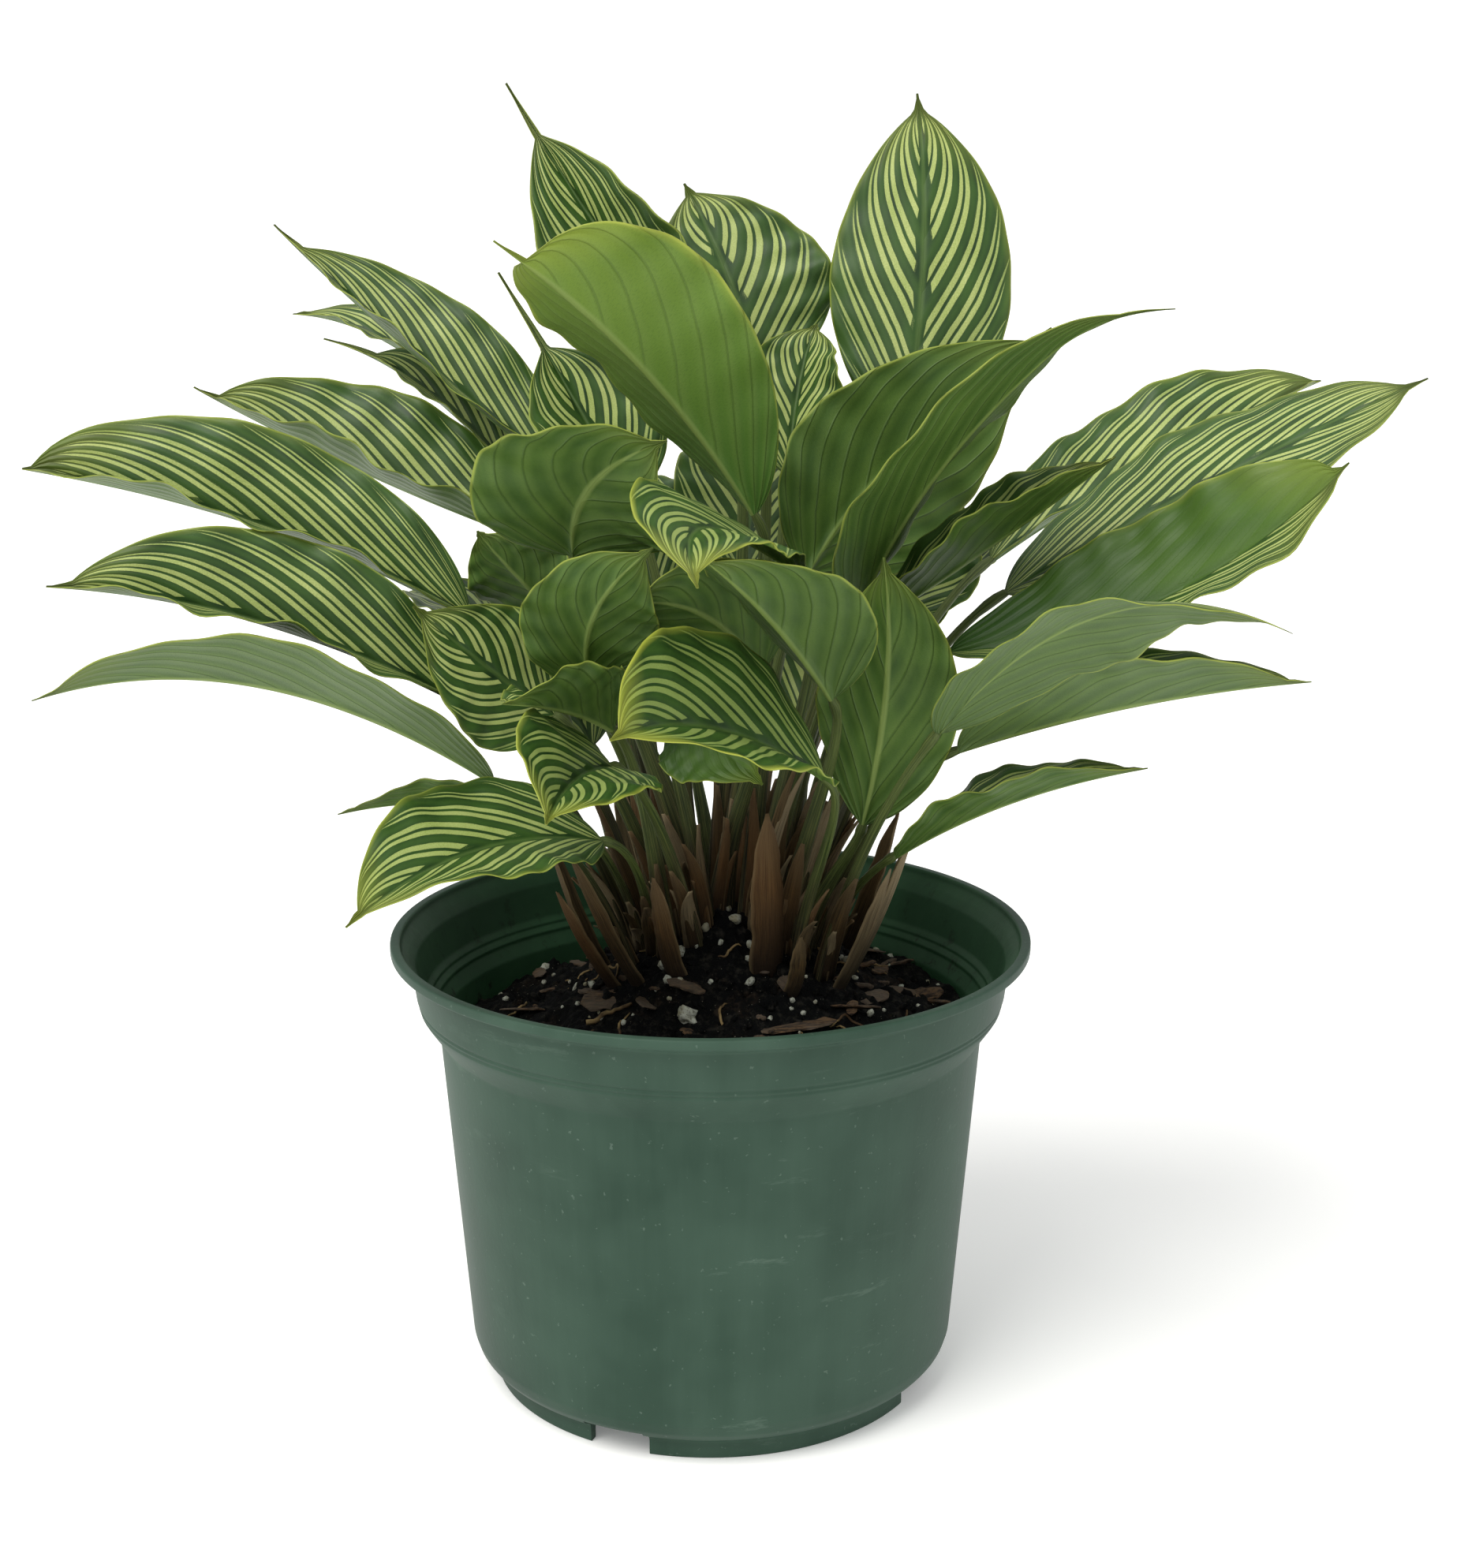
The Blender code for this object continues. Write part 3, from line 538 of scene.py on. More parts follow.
clod_parts = []
for place, (x, y, share) in enumerate(soil_spots(CLOD_COUNT, CLOD_SEED, CLOD_NEAREST)):
    size = between(CLOD_SIZE, share**2)
    centre = on_soil(x, y, size * CLOD_RAISED)
    clod_parts.append(lump(centre, size, place * 0.7, CLOD_FLATNESS, CLOD_ROUGHNESS))
clods = add_piece("peat_crumbs", *gather(clod_parts), [peat])
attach(clods, "root")

# Bark chips and root threads: flat splinters of pine bark, dry rootlets and one straw-coloured twig,
# all from the potting mix. They lie loose on the soil, tilted on its lumps.

UP = Vector((0.0, 0.0, 1.0))
BARK_SEED = 21
BARK_COUNT = 90
BARK_LENGTH = (4.0, 16.0)
BARK_WIDTH = (2.5, 7.5)
BARK_SPIN = 1440.0
BARK_RAISED = 0.8
CHIP_ROWS = 9
CHIP_COLUMNS = 5
CHIP_THICKNESS = 1.1
CHIP_TILT = (0.5, 0.3)
CHIP_WARP = 0.5
CHIP_RAGGED = 0.3
STICK = ((-49, -24), (-31, -22), 1.1)
STICK_TAPER = 0.4
STICK_RAISED = 1.4
THREAD_COUNT = 34
THREAD_SEED = 33
THREAD_ZONE = (24.0, 88.0)
THREAD_LENGTH = (9.0, 25.0)
THREAD_SPIN = 91.0
THREAD_BOW = 0.12
THREAD_TIP = 0.12
THREAD_SWELL = 0.45
THREAD_RAISED = 0.5
THREAD_POINTS = 12
THREAD_SIDES = 6

# The chips that show most, as (x, y, length, width, turn).
BARK_SEEN = (
    (-41, -11, 22, 14, 15), (-25, -26, 14, 10, 80), (31, -19, 11, 9, 60), (34, -40, 30, 9, 12),
    (56, -24, 22, 10, -15), (75, 17, 22, 10, -5), (65, -5, 16, 8, 40), (-76, 10, 20, 12, 15),
    (88, 20, 16, 8, -20), (-60, -22, 14, 8, 50), (-48, 8, 12, 8, 30), (-8, -40, 9, 6, 20),
    (70, 40, 14, 8, 70),
)


def chip(centre, length, width, turn, seed):
    """Points and faces of one flat chip with ragged ends."""
    chance = random.Random(seed)
    rows, columns = CHIP_ROWS, CHIP_COLUMNS
    thick = CHIP_THICKNESS + chance.random()
    tilts = [chance.uniform(-most, most) for most in CHIP_TILT]
    tilt = Euler((*tilts, math.radians(turn))).to_matrix()
    points = []
    for face_side in (1.0, -1.0):
        for row in range(rows):
            along = row / (rows - 1) * 2.0 - 1.0
            narrow = (1.0 - abs(along) ** 6) ** 0.5 * (1.0 - CHIP_RAGGED) + CHIP_RAGGED * chance.random()
            for column in range(columns):
                across = column / (columns - 1) * 2.0 - 1.0
                lift = thick * 0.5 * face_side * (1.0 - 0.6 * across**2) * (1.0 - 0.5 * along**4)
                lift += CHIP_WARP * noise.noise(Vector((along * 3.0, across * 2.0, seed * 1.7)))
                offset = Vector((along * length * 0.5, across * width * 0.5 * narrow, lift))
                points.append(centre + tilt @ offset)
    faces = []
    sheet = rows * columns
    for row in range(rows - 1):
        for column in range(columns - 1):
            a = row * columns + column
            faces.append((a, a + columns, a + columns + 1, a + 1))
            faces.append((sheet + a, sheet + a + 1, sheet + a + columns + 1, sheet + a + columns))
    rim = list(range(columns))
    rim += [row * columns + columns - 1 for row in range(1, rows)]
    rim += [(rows - 1) * columns + column for column in range(columns - 2, -1, -1)]
    rim += [row * columns for row in range(rows - 2, 0, -1)]
    for low, high in zip(rim, rim[1:] + rim[:1]):
        faces.append((low, high, sheet + high, sheet + low))
    return points, faces


def thread(path, radii):
    """Points and faces of a tapering tube along a path."""
    sides = THREAD_SIDES
    points, faces = [], []
    for place, (centre, radius) in enumerate(zip(path, radii)):
        ahead = path[min(place + 1, len(path) - 1)] - path[max(place - 1, 0)]
        across = ahead.cross(UP).normalized()
        rise = across.cross(ahead.normalized())
        for step in range(sides):
            turn = math.tau * step / sides
            points.append(centre + (across * math.cos(turn) + rise * math.sin(turn)) * radius)
    for place in range(len(path) - 1):
        for step in range(sides):
            a, b = place * sides + step, place * sides + (step + 1) % sides
            faces.append((a, a + sides, b + sides, b))
    faces.append(tuple(range(sides)))
    faces.append(tuple(len(points) - 1 - step for step in range(sides)))
    return points, faces


def bark_finish():
    """Pine bark: red-brown to grey-brown, split along its length."""
    finish = Finish("pine_bark", specular_ior_level=0.3)
    place = finish.object_place()
    grain = finish.noise(place, (150.0, 700.0, 700.0), 5.0, 0.7)
    tone = finish.noise(place, 45.0, 2.0)
    brown = finish.mix(paint(34, 26, 21), paint(98, 76, 54), grain.above(0.5, 0.2))
    weathered = finish.mix(brown, paint(88, 78, 68), tone.above(0.5, 0.12) * 0.7)
    finish.set(base_color=weathered, roughness=0.86)
    finish.relief(grain, 0.0008, 0.8)
    return finish


def root_finish():
    """Dry rootlets, from brown to straw."""
    finish = Finish("dry_rootlet", specular_ior_level=0.3)
    tone = finish.noise(finish.object_place(), 90.0, 3.0, 0.6)
    straw = finish.mix(paint(66, 48, 30), paint(146, 124, 84), tone.above(0.5, 0.2))
    finish.set(base_color=straw, roughness=0.8)
    return finish


chips = list(BARK_SEEN)
for x, y, share in soil_spots(BARK_COUNT, BARK_SEED):
    length, width = between(BARK_LENGTH, share**1.5), between(BARK_WIDTH, share**2)
    chips.append((x, y, length, width, share * BARK_SPIN))
chip_parts = []
for place, (x, y, length, width, turn) in enumerate(chips):
    chip_parts.append(chip(on_soil(x, y, BARK_RAISED), length, width, turn, place))
bark = add_piece("bark_chips", *gather(chip_parts), [bark_finish()])
bark.data.shade_flat()
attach(bark, "root")

shares = [step / (THREAD_POINTS - 1) for step in range(THREAD_POINTS)]
swelling = [math.sin(math.pi * (step + 1.5) / (THREAD_POINTS + 2)) for step in range(THREAD_POINTS)]
radii = [THREAD_SWELL * swell + THREAD_TIP for swell in swelling]
thread_parts = []
for place, (x, y, share) in enumerate(soil_spots(THREAD_COUNT, THREAD_SEED, *THREAD_ZONE)):
    way = share * THREAD_SPIN
    length = between(THREAD_LENGTH, (share * 13.0) % 1.0)
    path = []
    for step, t in enumerate(shares):
        along = (t - 0.5) * length
        bow = THREAD_BOW * length * math.sin(step * 0.5 + place)
        px = x + along * math.cos(way) - bow * math.sin(way)
        py = y + along * math.sin(way) + bow * math.cos(way)
        path.append(on_soil(px, py, THREAD_RAISED))
    thread_parts.append(thread(path, radii))
start, end, thickness = STICK
path = []
for t in shares:
    px, py = (between(ends, t) for ends in zip(start, end))
    path.append(on_soil(px, py, STICK_RAISED))
thread_parts.append(thread(path, [thickness * (1.0 - STICK_TAPER * t) for t in shares]))
roots = add_piece("root_threads", *gather(thread_parts), [root_finish()])
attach(roots, "root")

# Leaves: each a channelled petiole that rises from the crown, a small swelling under the blade, and
# a thin oval blade. The upper face is dark green with pairs of pale stripes along its side veins;
# the underside is a plain lighter green with darker veins and a raised midrib.

Leaf = namedtuple("Leaf", """name place neck middle tip left right width
                  bend roll wave drip hook point yellow plain bloom fresh""")


def leaf(name, place, neck, middle, tip, left, right, width, bend=(0, 0), roll=0, wave=2.0, drip=0.05,
         hook=(0, 0, 0), point=0.93, yellow=0.22, plain=0.0, bloom=0.05, fresh=0.0):
    """One leaf's measures, in millimetres and degrees, and how its faces are coloured."""
    vectors = (Vector(value) for value in (neck, middle, tip, left, right))
    form = (width, bend, roll, wave, drip, Vector(hook), point)
    return Leaf(name, place, *vectors, *form, yellow, plain, bloom, fresh)


STEM_DEPTH = 12.0
STEM_HALF_WIDTH = (4.6, 1.7)
STEM_HALF_DEPTH = (2.3, 1.6)
STEM_WIDENING = 1.6
STEM_LEAN = 0.45
STEM_RISE = 0.4
STEM_ARCH = 0.2
STEM_HOLLOW = 0.6
SWELLING = 0.6
SWELLING_PLACE = 0.94
SWELLING_REACH = 0.035
STEM_ROWS = 26
BLADE_THICKNESS = 0.6
EDGE_THICKNESS = 0.4
RIB_DEPTH = 1.3
RIB_HALF_WIDTH = 1.3
RIB_FADE = 0.7
GROOVE_DEPTH = 0.35
TIP_REACH = 0.5
BLADE_ROWS = 72
BLADE_START = 0.004
ROW_CROWDING = 1.15
WAVES = 2.4
PHASE_STEP = 1.7
SIDE_PHASE = 1.9
RIPPLES = 7.3
RIPPLE_SHARE = 0.4
DRIP_REACH = 2.0
ROUND_BASE = 0.7
HOOK_START = 0.75
VEIN_SPACING = 22.0
FEWEST_PAIRS = 5.5
VEIN_SWEEP = 0.5
VEIN_CURVE = 0.2
VEIN_DRIFT = 0.14
HALVES_APART = 0.43
UPPER, UNDER, STEM = range(3)

# Shares of a blade's half width at which it has points, from beside the midrib to the edge.
COLUMNS = (0.03, 0.07, 0.12, 0.18, 0.26, 0.35, 0.45, 0.55, 0.65, 0.74, 0.83, 0.9, 0.96, 1.0)

# The thin rim between the faces is mapped out to a little over 1, and the petiole to a little under.
RIM_MAP = 1.03
STEM_MAP = 0.98

# The flattened leaf on the square of the OFBake map: the petiole in
# a strip at the foot, and the two faces of the blade side by side above it.
FLAT_LENGTH = 0.98
FLAT_MARGIN = 0.01
FLAT_STEM_WIDTH = 0.11
FLAT_FACE_MIDDLES = (0.25, 0.75)
FLAT_HALF_WIDTH = 0.23
FLAT_BLADE_START = 0.14
FLAT_BLADE_LENGTH = 0.85
FLAT_CAP = 0.005

# Each leaf: name; place on the soil (x, y); neck, middle and tip of the midrib; the way the left and
# the right half leave the midrib, seen from the neck with the upper face up; full width. Then, where
# they differ from a plain leaf: how far each half bends up (+) or down (-) towards its edge, the turn
# of the blade from neck to tip, the height of the edge waves, the share of the length that is a thin
# drawn-out tip, how far the last quarter hooks aside, how pointed the blade is and its yellowing.
# Plain is 1 where one half has no stripes and 2 where neither has; the next value greys the underside as a
# painted whitish sheen, and the last brightens the underside towards the tip as painted light through the
# blade.
LEAVES = (
    leaf("left_1", (-32, 6), (-83, -25, 252), (-166, -50, 295), (-243, -75, 295),
         (0, -0.78, 0.63), (0, 1, 0), 74, bend=(0, -10), wave=1.5, point=0.8, bloom=0.9),
    leaf("left_2", (-32, 24), (-94, -18, 281), (-171, -32, 316), (-243, -45, 331),
         (0, -0.97, 0.24), (0, 0.1, 0.99), 70, bend=(0, -12), wave=3, point=0.85),
    leaf("left_3", (-27, 33), (-94, 8, 310), (-173, 13, 344), (-266, 18, 366),
         (0, -0.95, 0.26), (0, 0.1, 0.99), 74, bend=(0, -15), wave=3, drip=0.02, point=0.6),
    leaf("left_4", (-22, 24), (-67, 48, 332), (-137, 60, 358), (-209, 72, 392),
         (0, -0.97, 0.26), (0, 0.3, 0.95), 72, bend=(15, -10), wave=3, drip=0.06, point=0.7),
    leaf("left_5", (-17, 33), (-57, 60, 356), (-125, 85, 408), (-180, 110, 455),
         (0.1, -0.98, 0.15), (0.75, 0.1, 0.65), 58, bend=(0, -10), drip=0.1),
    leaf("left_6", (-12, 51), (-87, 112, 365), (-134, 136, 403), (-180, 148, 416),
         (0, -0.97, 0.15), (0.3, 0.7, 0.6), 40),
    leaf("left_7", (-22, 42), (-79, 84, 352), (-121, 102, 390), (-162, 114, 408),
         (0, -1, 0.1), (0.4, 0.3, 0.8), 42, drip=0.25, wave=1.5),
    leaf("left_8", (-17, 15), (-60, -12, 275), (-83, -27, 296), (-110, -37, 322),
         (-0.4, -0.6, -0.6), (0.3, 0.3, 0.9), 56, wave=1.5),
    leaf("left_9", (-13, 22), (-44, 29, 271), (-60, 33, 301), (-85, 32, 334),
         (-0.6, -0.6, -0.3), (0.7, 0.2, 0.5), 40, wave=1.5),
    leaf("top_1", (-7, 33), (-31, 35, 349), (-55, 50, 391), (-84, 65, 438),
         (-0.5, -0.8, -0.2), (0.8, -0.3, 0.5), 66, drip=0.3),
    leaf("top_2", (3, 42), (0, 52, 398), (-40, 68, 449), (-81, 88, 511),
         (-0.6, -0.6, -0.4), (0.55, -0.75, 0.35), 74, drip=0.15),
    leaf("top_3", (13, 33), (20, 62, 396), (8, 72, 435), (-10, 88, 472),
         (-0.9, -0.2, -0.3), (0.93, 0, 0.36), 80, bend=(0, -10), wave=3),
    leaf("top_4", (23, 33), (77, 40, 374), (85, 60, 443), (83, 80, 507),
         (-1, 0.1, 0), (1, 0.1, 0), 74, bend=(-10, -10), wave=1, point=0.8),
    leaf("top_5", (18, 42), (31, 38, 361), (36, 50, 396), (43, 60, 418),
         (-1, 0, 0.2), (0.6, -0.8, 0), 48),
    leaf("top_6", (6, 24), (17, -10, 352), (-26, -30, 410), (-76, -50, 455),
         (0.8, -0.2, 0.55), (-0.3, 0.93, -0.2), 90, drip=0.1, point=0.42, yellow=0.5, fresh=1.0),
    leaf("right_1", (15, 13), (38, 2, 328), (73, 13, 371), (132, 25, 419),
         (0.6, 0.2, -0.6), (-0.65, -0.2, 0.7), 76, wave=3),
    leaf("right_2", (23, 15), (54, -15, 310), (92, -36, 382), (158, -60, 446),
         (0.14, 0.98, -0.2), (-0.4, -0.8, 0.45), 72, drip=0.08, hook=(6, 0, -14), point=1.0),
    leaf("right_3", (38, 33), (113, 42, 326), (179, 64, 362), (252, 85, 393),
         (0, 0.7, 0.7), (0, -0.97, 0.2), 66, wave=3, drip=0.02, point=0.6),
    leaf("right_4", (28, 24), (67, -12, 314), (113, -20, 347), (150, -28, 376),
         (0, 0.8, 0.6), (0, -0.77, 0.64), 58),
    leaf("right_5", (38, 24), (114, 0, 320), (192, -4, 364), (269, -10, 403),
         (0, 0.85, 0.5), (0, -0.9, -0.4), 72, point=0.75),
    leaf("right_6", (33, 15), (91, -20, 301), (165, -45, 325), (226, -70, 379),
         (0, 0.5, 0.85), (0, -1, 0), 70, wave=3, drip=0.03, point=0.5, plain=1.0),
    leaf("right_7", (45, -4), (84, -52, 277), (136, -100, 331), (196, -127, 329),
         (0, 0.75, -0.66), (0, -0.95, 0.35), 58, roll=50, bloom=0.9),
    leaf("right_8", (43, 15), (94, -30, 265), (157, -50, 287), (216, -75, 301),
         (0, 0.95, 0.3), (0, -0.72, 0.69), 70, bloom=0.9),
    leaf("right_9", (48, 24), (72, -15, 219), (114, -35, 246), (162, -55, 264),
         (0, 0.9, 0.4), (0, -0.75, 0.65), 40),
    leaf("right_10", (33, 42), (70, 50, 300), (88, 62, 328), (103, 72, 349),
         (-0.5, 0.3, 0.7), (0.6, -0.4, -0.5), 54),
    leaf("front_1", (19, 3), (32, -52, 338), (-2, -96, 360), (-4, -145, 348),
         (0.75, -0.5, 0), (-0.45, 0.6, 0.5), 60, bend=(-20, -20), wave=1.5, yellow=0.6),
    leaf("front_2", (29, -1), (45, -48, 289), (21, -80, 325), (-3, -108, 352),
         (0.65, -0.3, 0.6), (-0.2, 0.95, -0.1), 68, bend=(-15, 0), wave=1, bloom=0.4),
    leaf("front_3", (34, -9), (42, -56, 261), (0, -95, 289), (-33, -150, 298),
         (0.7, -0.65, -0.2), (-0.3, 0.25, 0.92), 84, bend=(0, -15), yellow=0.8),
    leaf("front_4", (36, 4), (59, -20, 233), (66, -40, 292), (63, -55, 343),
         (1, -0.1, 0), (-0.85, 0.5, 0), 56, wave=1.5),
    leaf("front_5", (-7, 15), (-51, -25, 339), (-43, -45, 368), (-15, -60, 386),
         (0.75, -0.1, -0.3), (-0.9, -0.3, 0.3), 84, wave=3),
    leaf("front_6", (-12, 6), (-44, -40, 292), (-42, -60, 323), (-20, -75, 350),
         (0.9, 0.2, -0.2), (-0.9, 0, 0.2), 52, wave=2.5),
    leaf("front_7", (3, 15), (20, -20, 294), (-3, -42, 320), (-30, -60, 327),
         (0.5, -0.2, 0.8), (-0.2, 0.6, -0.75), 56, wave=2.5),
    leaf("front_8", (-17, -3), (-37, -40, 276), (-54, -70, 290), (-73, -95, 298),
         (0.3, -0.5, 0.8), (-0.5, 0.8, 0), 50, wave=2.5),
    leaf("front_9", (-7, -3), (-36, -62, 267), (-48, -100, 271), (-55, -145, 268),
         (0.6, -0.7, 0.1), (-0.5, 0.2, 0.85), 60, bend=(-20, -20), wave=1.5, yellow=0.6),
    leaf("front_10", (-2, 5), (-13, -30, 277), (1, -50, 273), (19, -70, 262),
         (0.5, 0.3, 0.8), (-0.5, -0.3, -0.5), 40, plain=2.0),
    leaf("front_11", (-22, 6), (-41, -42, 233), (-87, -75, 238), (-127, -120, 224),
         (0.2, -0.97, 0.05), (-0.4, 0.7, 0.6), 70, bend=(-10, -10), yellow=0.4),
    leaf("front_12", (-27, 15), (-58, -6, 232), (-102, -10, 240), (-144, -18, 237),
         (0, -0.7, 0.7), (0, 1, 0.1), 34, wave=1.5),
    leaf("front_13", (-2, 24), (-53, 5, 304), (-74, -3, 328), (-88, -10, 346),
         (0.7, -0.3, 0.3), (-0.5, 0.5, -0.6), 46, wave=2.5),
    leaf("back_1", (43, 42), (70, 75, 275), (100, 108, 318), (130, 140, 318),
         (-0.7, 0.7, 0.3), (0.7, -0.7, 0.2), 66),
    leaf("back_2", (33, 51), (52, 88, 300), (72, 120, 340), (85, 150, 350),
         (-0.9, 0.4, 0.2), (0.9, -0.4, 0.2), 66),
    leaf("back_3", (23, 51), (40, 84, 240), (55, 115, 275), (68, 148, 270),
         (-0.9, 0.4, 0.2), (0.9, -0.4, 0.2), 64),
    leaf("back_4", (10, 50), (15, 80, 310), (18, 113, 352), (20, 148, 362),
         (-1, 0, 0.2), (1, 0, 0.2), 66),
    leaf("back_5", (3, 51), (-10, 86, 250), (-15, 118, 285), (-20, 150, 285),
         (-1, 0, 0.2), (1, 0, 0.2), 64),
    leaf("back_6", (-7, 42), (-22, 82, 300), (-38, 114, 338), (-52, 148, 343),
         (-0.9, -0.4, 0.2), (0.9, 0.4, 0.2), 62),
    leaf("back_7", (-17, 51), (-50, 80, 240), (-78, 108, 272), (-105, 135, 270),
         (-0.8, -0.6, 0.2), (0.8, 0.6, 0.2), 64),
    leaf("back_8", (-32, 36), (-62, 55, 262), (-98, 80, 296), (-135, 103, 301),
         (-0.5, -0.8, 0.2), (0.5, 0.8, 0.2), 62),
)


def direction_from(guess, tangent):
    """The part of guess that is square to the tangent, at unit length."""
    return (guess - tangent * guess.dot(tangent)).normalized()


def bend_curve(start, middle, end, t):
    """Point and unit tangent on the parabola that passes through middle half way."""
    control = middle * 2.0 - (start + end) * 0.5
    point = start * (1 - t) ** 2 + control * (2 * t * (1 - t)) + end * t**2
    tangent = (control - start) * (1 - t) + (end - control) * t
    return point, tangent.normalized()


def bezier(points, t):
    """Point and unit tangent on a cubic curve through four control points."""
    a, b, c, d = points
    point = a * (1 - t) ** 3 + b * (3 * t * (1 - t) ** 2) + c * (3 * t**2 * (1 - t)) + d * t**3
    tangent = (b - a) * (1 - t) ** 2 + (c - b) * (2 * t * (1 - t)) + (d - c) * t**2
    return point, tangent.normalized()


def width_share(t, point):
    """Half width of a blade along its midrib, as a share of its greatest half width."""
    widest = ROUND_BASE / (ROUND_BASE + point)
    full = widest**ROUND_BASE * (1.0 - widest) ** point
    return t**ROUND_BASE * (1.0 - t) ** point / full


def midrib(leaf, t):
    """Point and unit tangent of a leaf's midrib."""
    point, tangent = bend_curve(leaf.neck, leaf.middle, leaf.tip, t)
    late = max(0.0, t - HOOK_START) / (1.0 - HOOK_START)
    reach = (leaf.tip - leaf.neck).length
    tangent = (tangent * reach + leaf.hook * (2.0 * late / (1.0 - HOOK_START))).normalized()
    return point + leaf.hook * late**2, tangent


def blade_reach(leaf, t):
    """Half width of a leaf's blade: an oval drawn out to a thin tip."""
    body = 1.0 - leaf.drip
    reach = leaf.width * 0.5 * width_share(min(t / body, 1.0), leaf.point)
    thin = DRIP_REACH * (1.0 - t) / leaf.drip
    return max(reach, min(thin, DRIP_REACH), TIP_REACH)


def stem_curve(root, neck, blade_start):
    """Control points of a petiole that rises from the soil and leans over into the blade."""
    reach = (neck - root).length
    aside = (neck - root) * STEM_LEAN
    start = Vector((aside.x, aside.y, neck.z - root.z)).normalized()
    return root, root + start * (reach * STEM_RISE), neck - blade_start * (reach * STEM_ARCH), neck


def stem_ring(centre, tangent, side, half_width, half_depth, hollow):
    """Points round a petiole, wide and hollowed on its upper side near the foot."""
    across = direction_from(side, tangent)
    upper = across.cross(tangent)
    count = 2 * len(COLUMNS) + 1
    ring = []
    for number in range(2 * count):
        turn = math.pi * (1.0 - (number + 0.5) / count)
        rise = math.sin(turn) * half_depth
        if rise > 0.0:
            rise *= 1.0 - hollow * math.sin(turn) ** 2
        ring.append(centre + across * (math.cos(turn) * half_width) + upper * rise)
    return ring


def half_blade(origin, outward, upper, reach, bend, wave):
    """Points on the upper and the under face of one half of a blade, from midrib to edge."""
    top, under = [], []
    for u in COLUMNS:
        turn = math.radians(bend) * u
        if bend == 0:
            across, rise = u, 0.0
        else:
            across = math.sin(turn) / math.radians(bend)
            rise = (1.0 - math.cos(turn)) / math.radians(bend)
        face = upper * math.cos(turn) - outward * math.sin(turn)
        point = origin + (outward * across + upper * rise) * reach + face * (wave * u * u)
        half = (BLADE_THICKNESS + (EDGE_THICKNESS - BLADE_THICKNESS) * u**3) * 0.5
        from_rib = math.exp(-((u * reach / RIB_HALF_WIDTH) ** 2))
        top.append(point + face * (half - GROOVE_DEPTH * from_rib))
        under.append((point - face * half, face * from_rib))
    return top, under


def blade_ring(origin, tangent, left, right, reach, bends, waves, rib):
    """Points round a blade: its upper face from left to right, and back underneath."""
    upper_left = tangent.cross(left)
    upper_right = right.cross(tangent)
    left_top, left_under = half_blade(origin, left, upper_left, reach, bends[0], waves[0])
    right_top, right_under = half_blade(origin, right, upper_right, reach, bends[1], waves[1])
    face = (upper_left + upper_right).normalized()
    half = BLADE_THICKNESS * 0.5
    under = left_under[::-1] + [(origin - face * half, face)] + right_under
    lower = [point - along * rib for point, along in under]
    return left_top[::-1] + [origin + face * (half - GROOVE_DEPTH)] + right_top + lower[::-1]


def foot_of(place):
    """The point where a stem or a sheath leaves the soil."""
    return Vector((*place, soil_height(*place)))


def leaf_rings(leaf, index):
    """All rings of a leaf, with how far along its petiole or blade each one lies."""
    root = foot_of(leaf.place)
    start_tangent = midrib(leaf, 0.0)[1]
    side = direction_from(leaf.right, start_tangent) - direction_from(leaf.left, start_tangent)
    curve = stem_curve(root, leaf.neck, start_tangent)
    foot_tangent = bezier(curve, 0.0)[1]
    width, depth = STEM_HALF_WIDTH, STEM_HALF_DEPTH
    buried = root - foot_tangent * STEM_DEPTH
    rings = [stem_ring(buried, foot_tangent, side, width[0], depth[0], STEM_HOLLOW)]
    for row in range(STEM_ROWS):
        t = row / (STEM_ROWS - 1)
        centre, tangent = bezier(curve, t)
        low = (1.0 - t) ** STEM_WIDENING
        swollen = SWELLING * math.exp(-(((t - SWELLING_PLACE) / SWELLING_REACH) ** 2))
        half_width = width[1] + (width[0] - width[1]) * low + swollen
        half_depth = depth[1] + (depth[0] - depth[1]) * low + swollen
        rings.append(stem_ring(centre, tangent, side, half_width, half_depth, STEM_HOLLOW * (1.0 - t)))
    stem_count = len(rings)
    along = [row / (stem_count - 1) for row in range(stem_count)]
    for row in range(BLADE_ROWS):
        t = BLADE_START + (1.0 - BLADE_START) * (row / (BLADE_ROWS - 1)) ** ROW_CROWDING
        origin, tangent = midrib(leaf, t)
        turn = Quaternion(tangent, math.radians(leaf.roll) * (t - 0.5))
        left = direction_from(turn @ leaf.left, tangent)
        right = direction_from(turn @ leaf.right, tangent)
        reach = blade_reach(leaf, t)
        height = leaf.wave * min(1.0, 2.0 * reach / leaf.width)
        phase = math.tau * WAVES * t + index * PHASE_STEP
        ripple = RIPPLE_SHARE * math.sin(math.tau * RIPPLES * t + index)
        waves = (height * (math.sin(phase) + ripple), height * (math.sin(phase + SIDE_PHASE) - ripple))
        rib = RIB_DEPTH * (1.0 - t) ** RIB_FADE
        rings.append(blade_ring(origin, tangent, left, right, reach, leaf.bend, waves, rib))
        along.append(t)
    return rings, along, stem_count


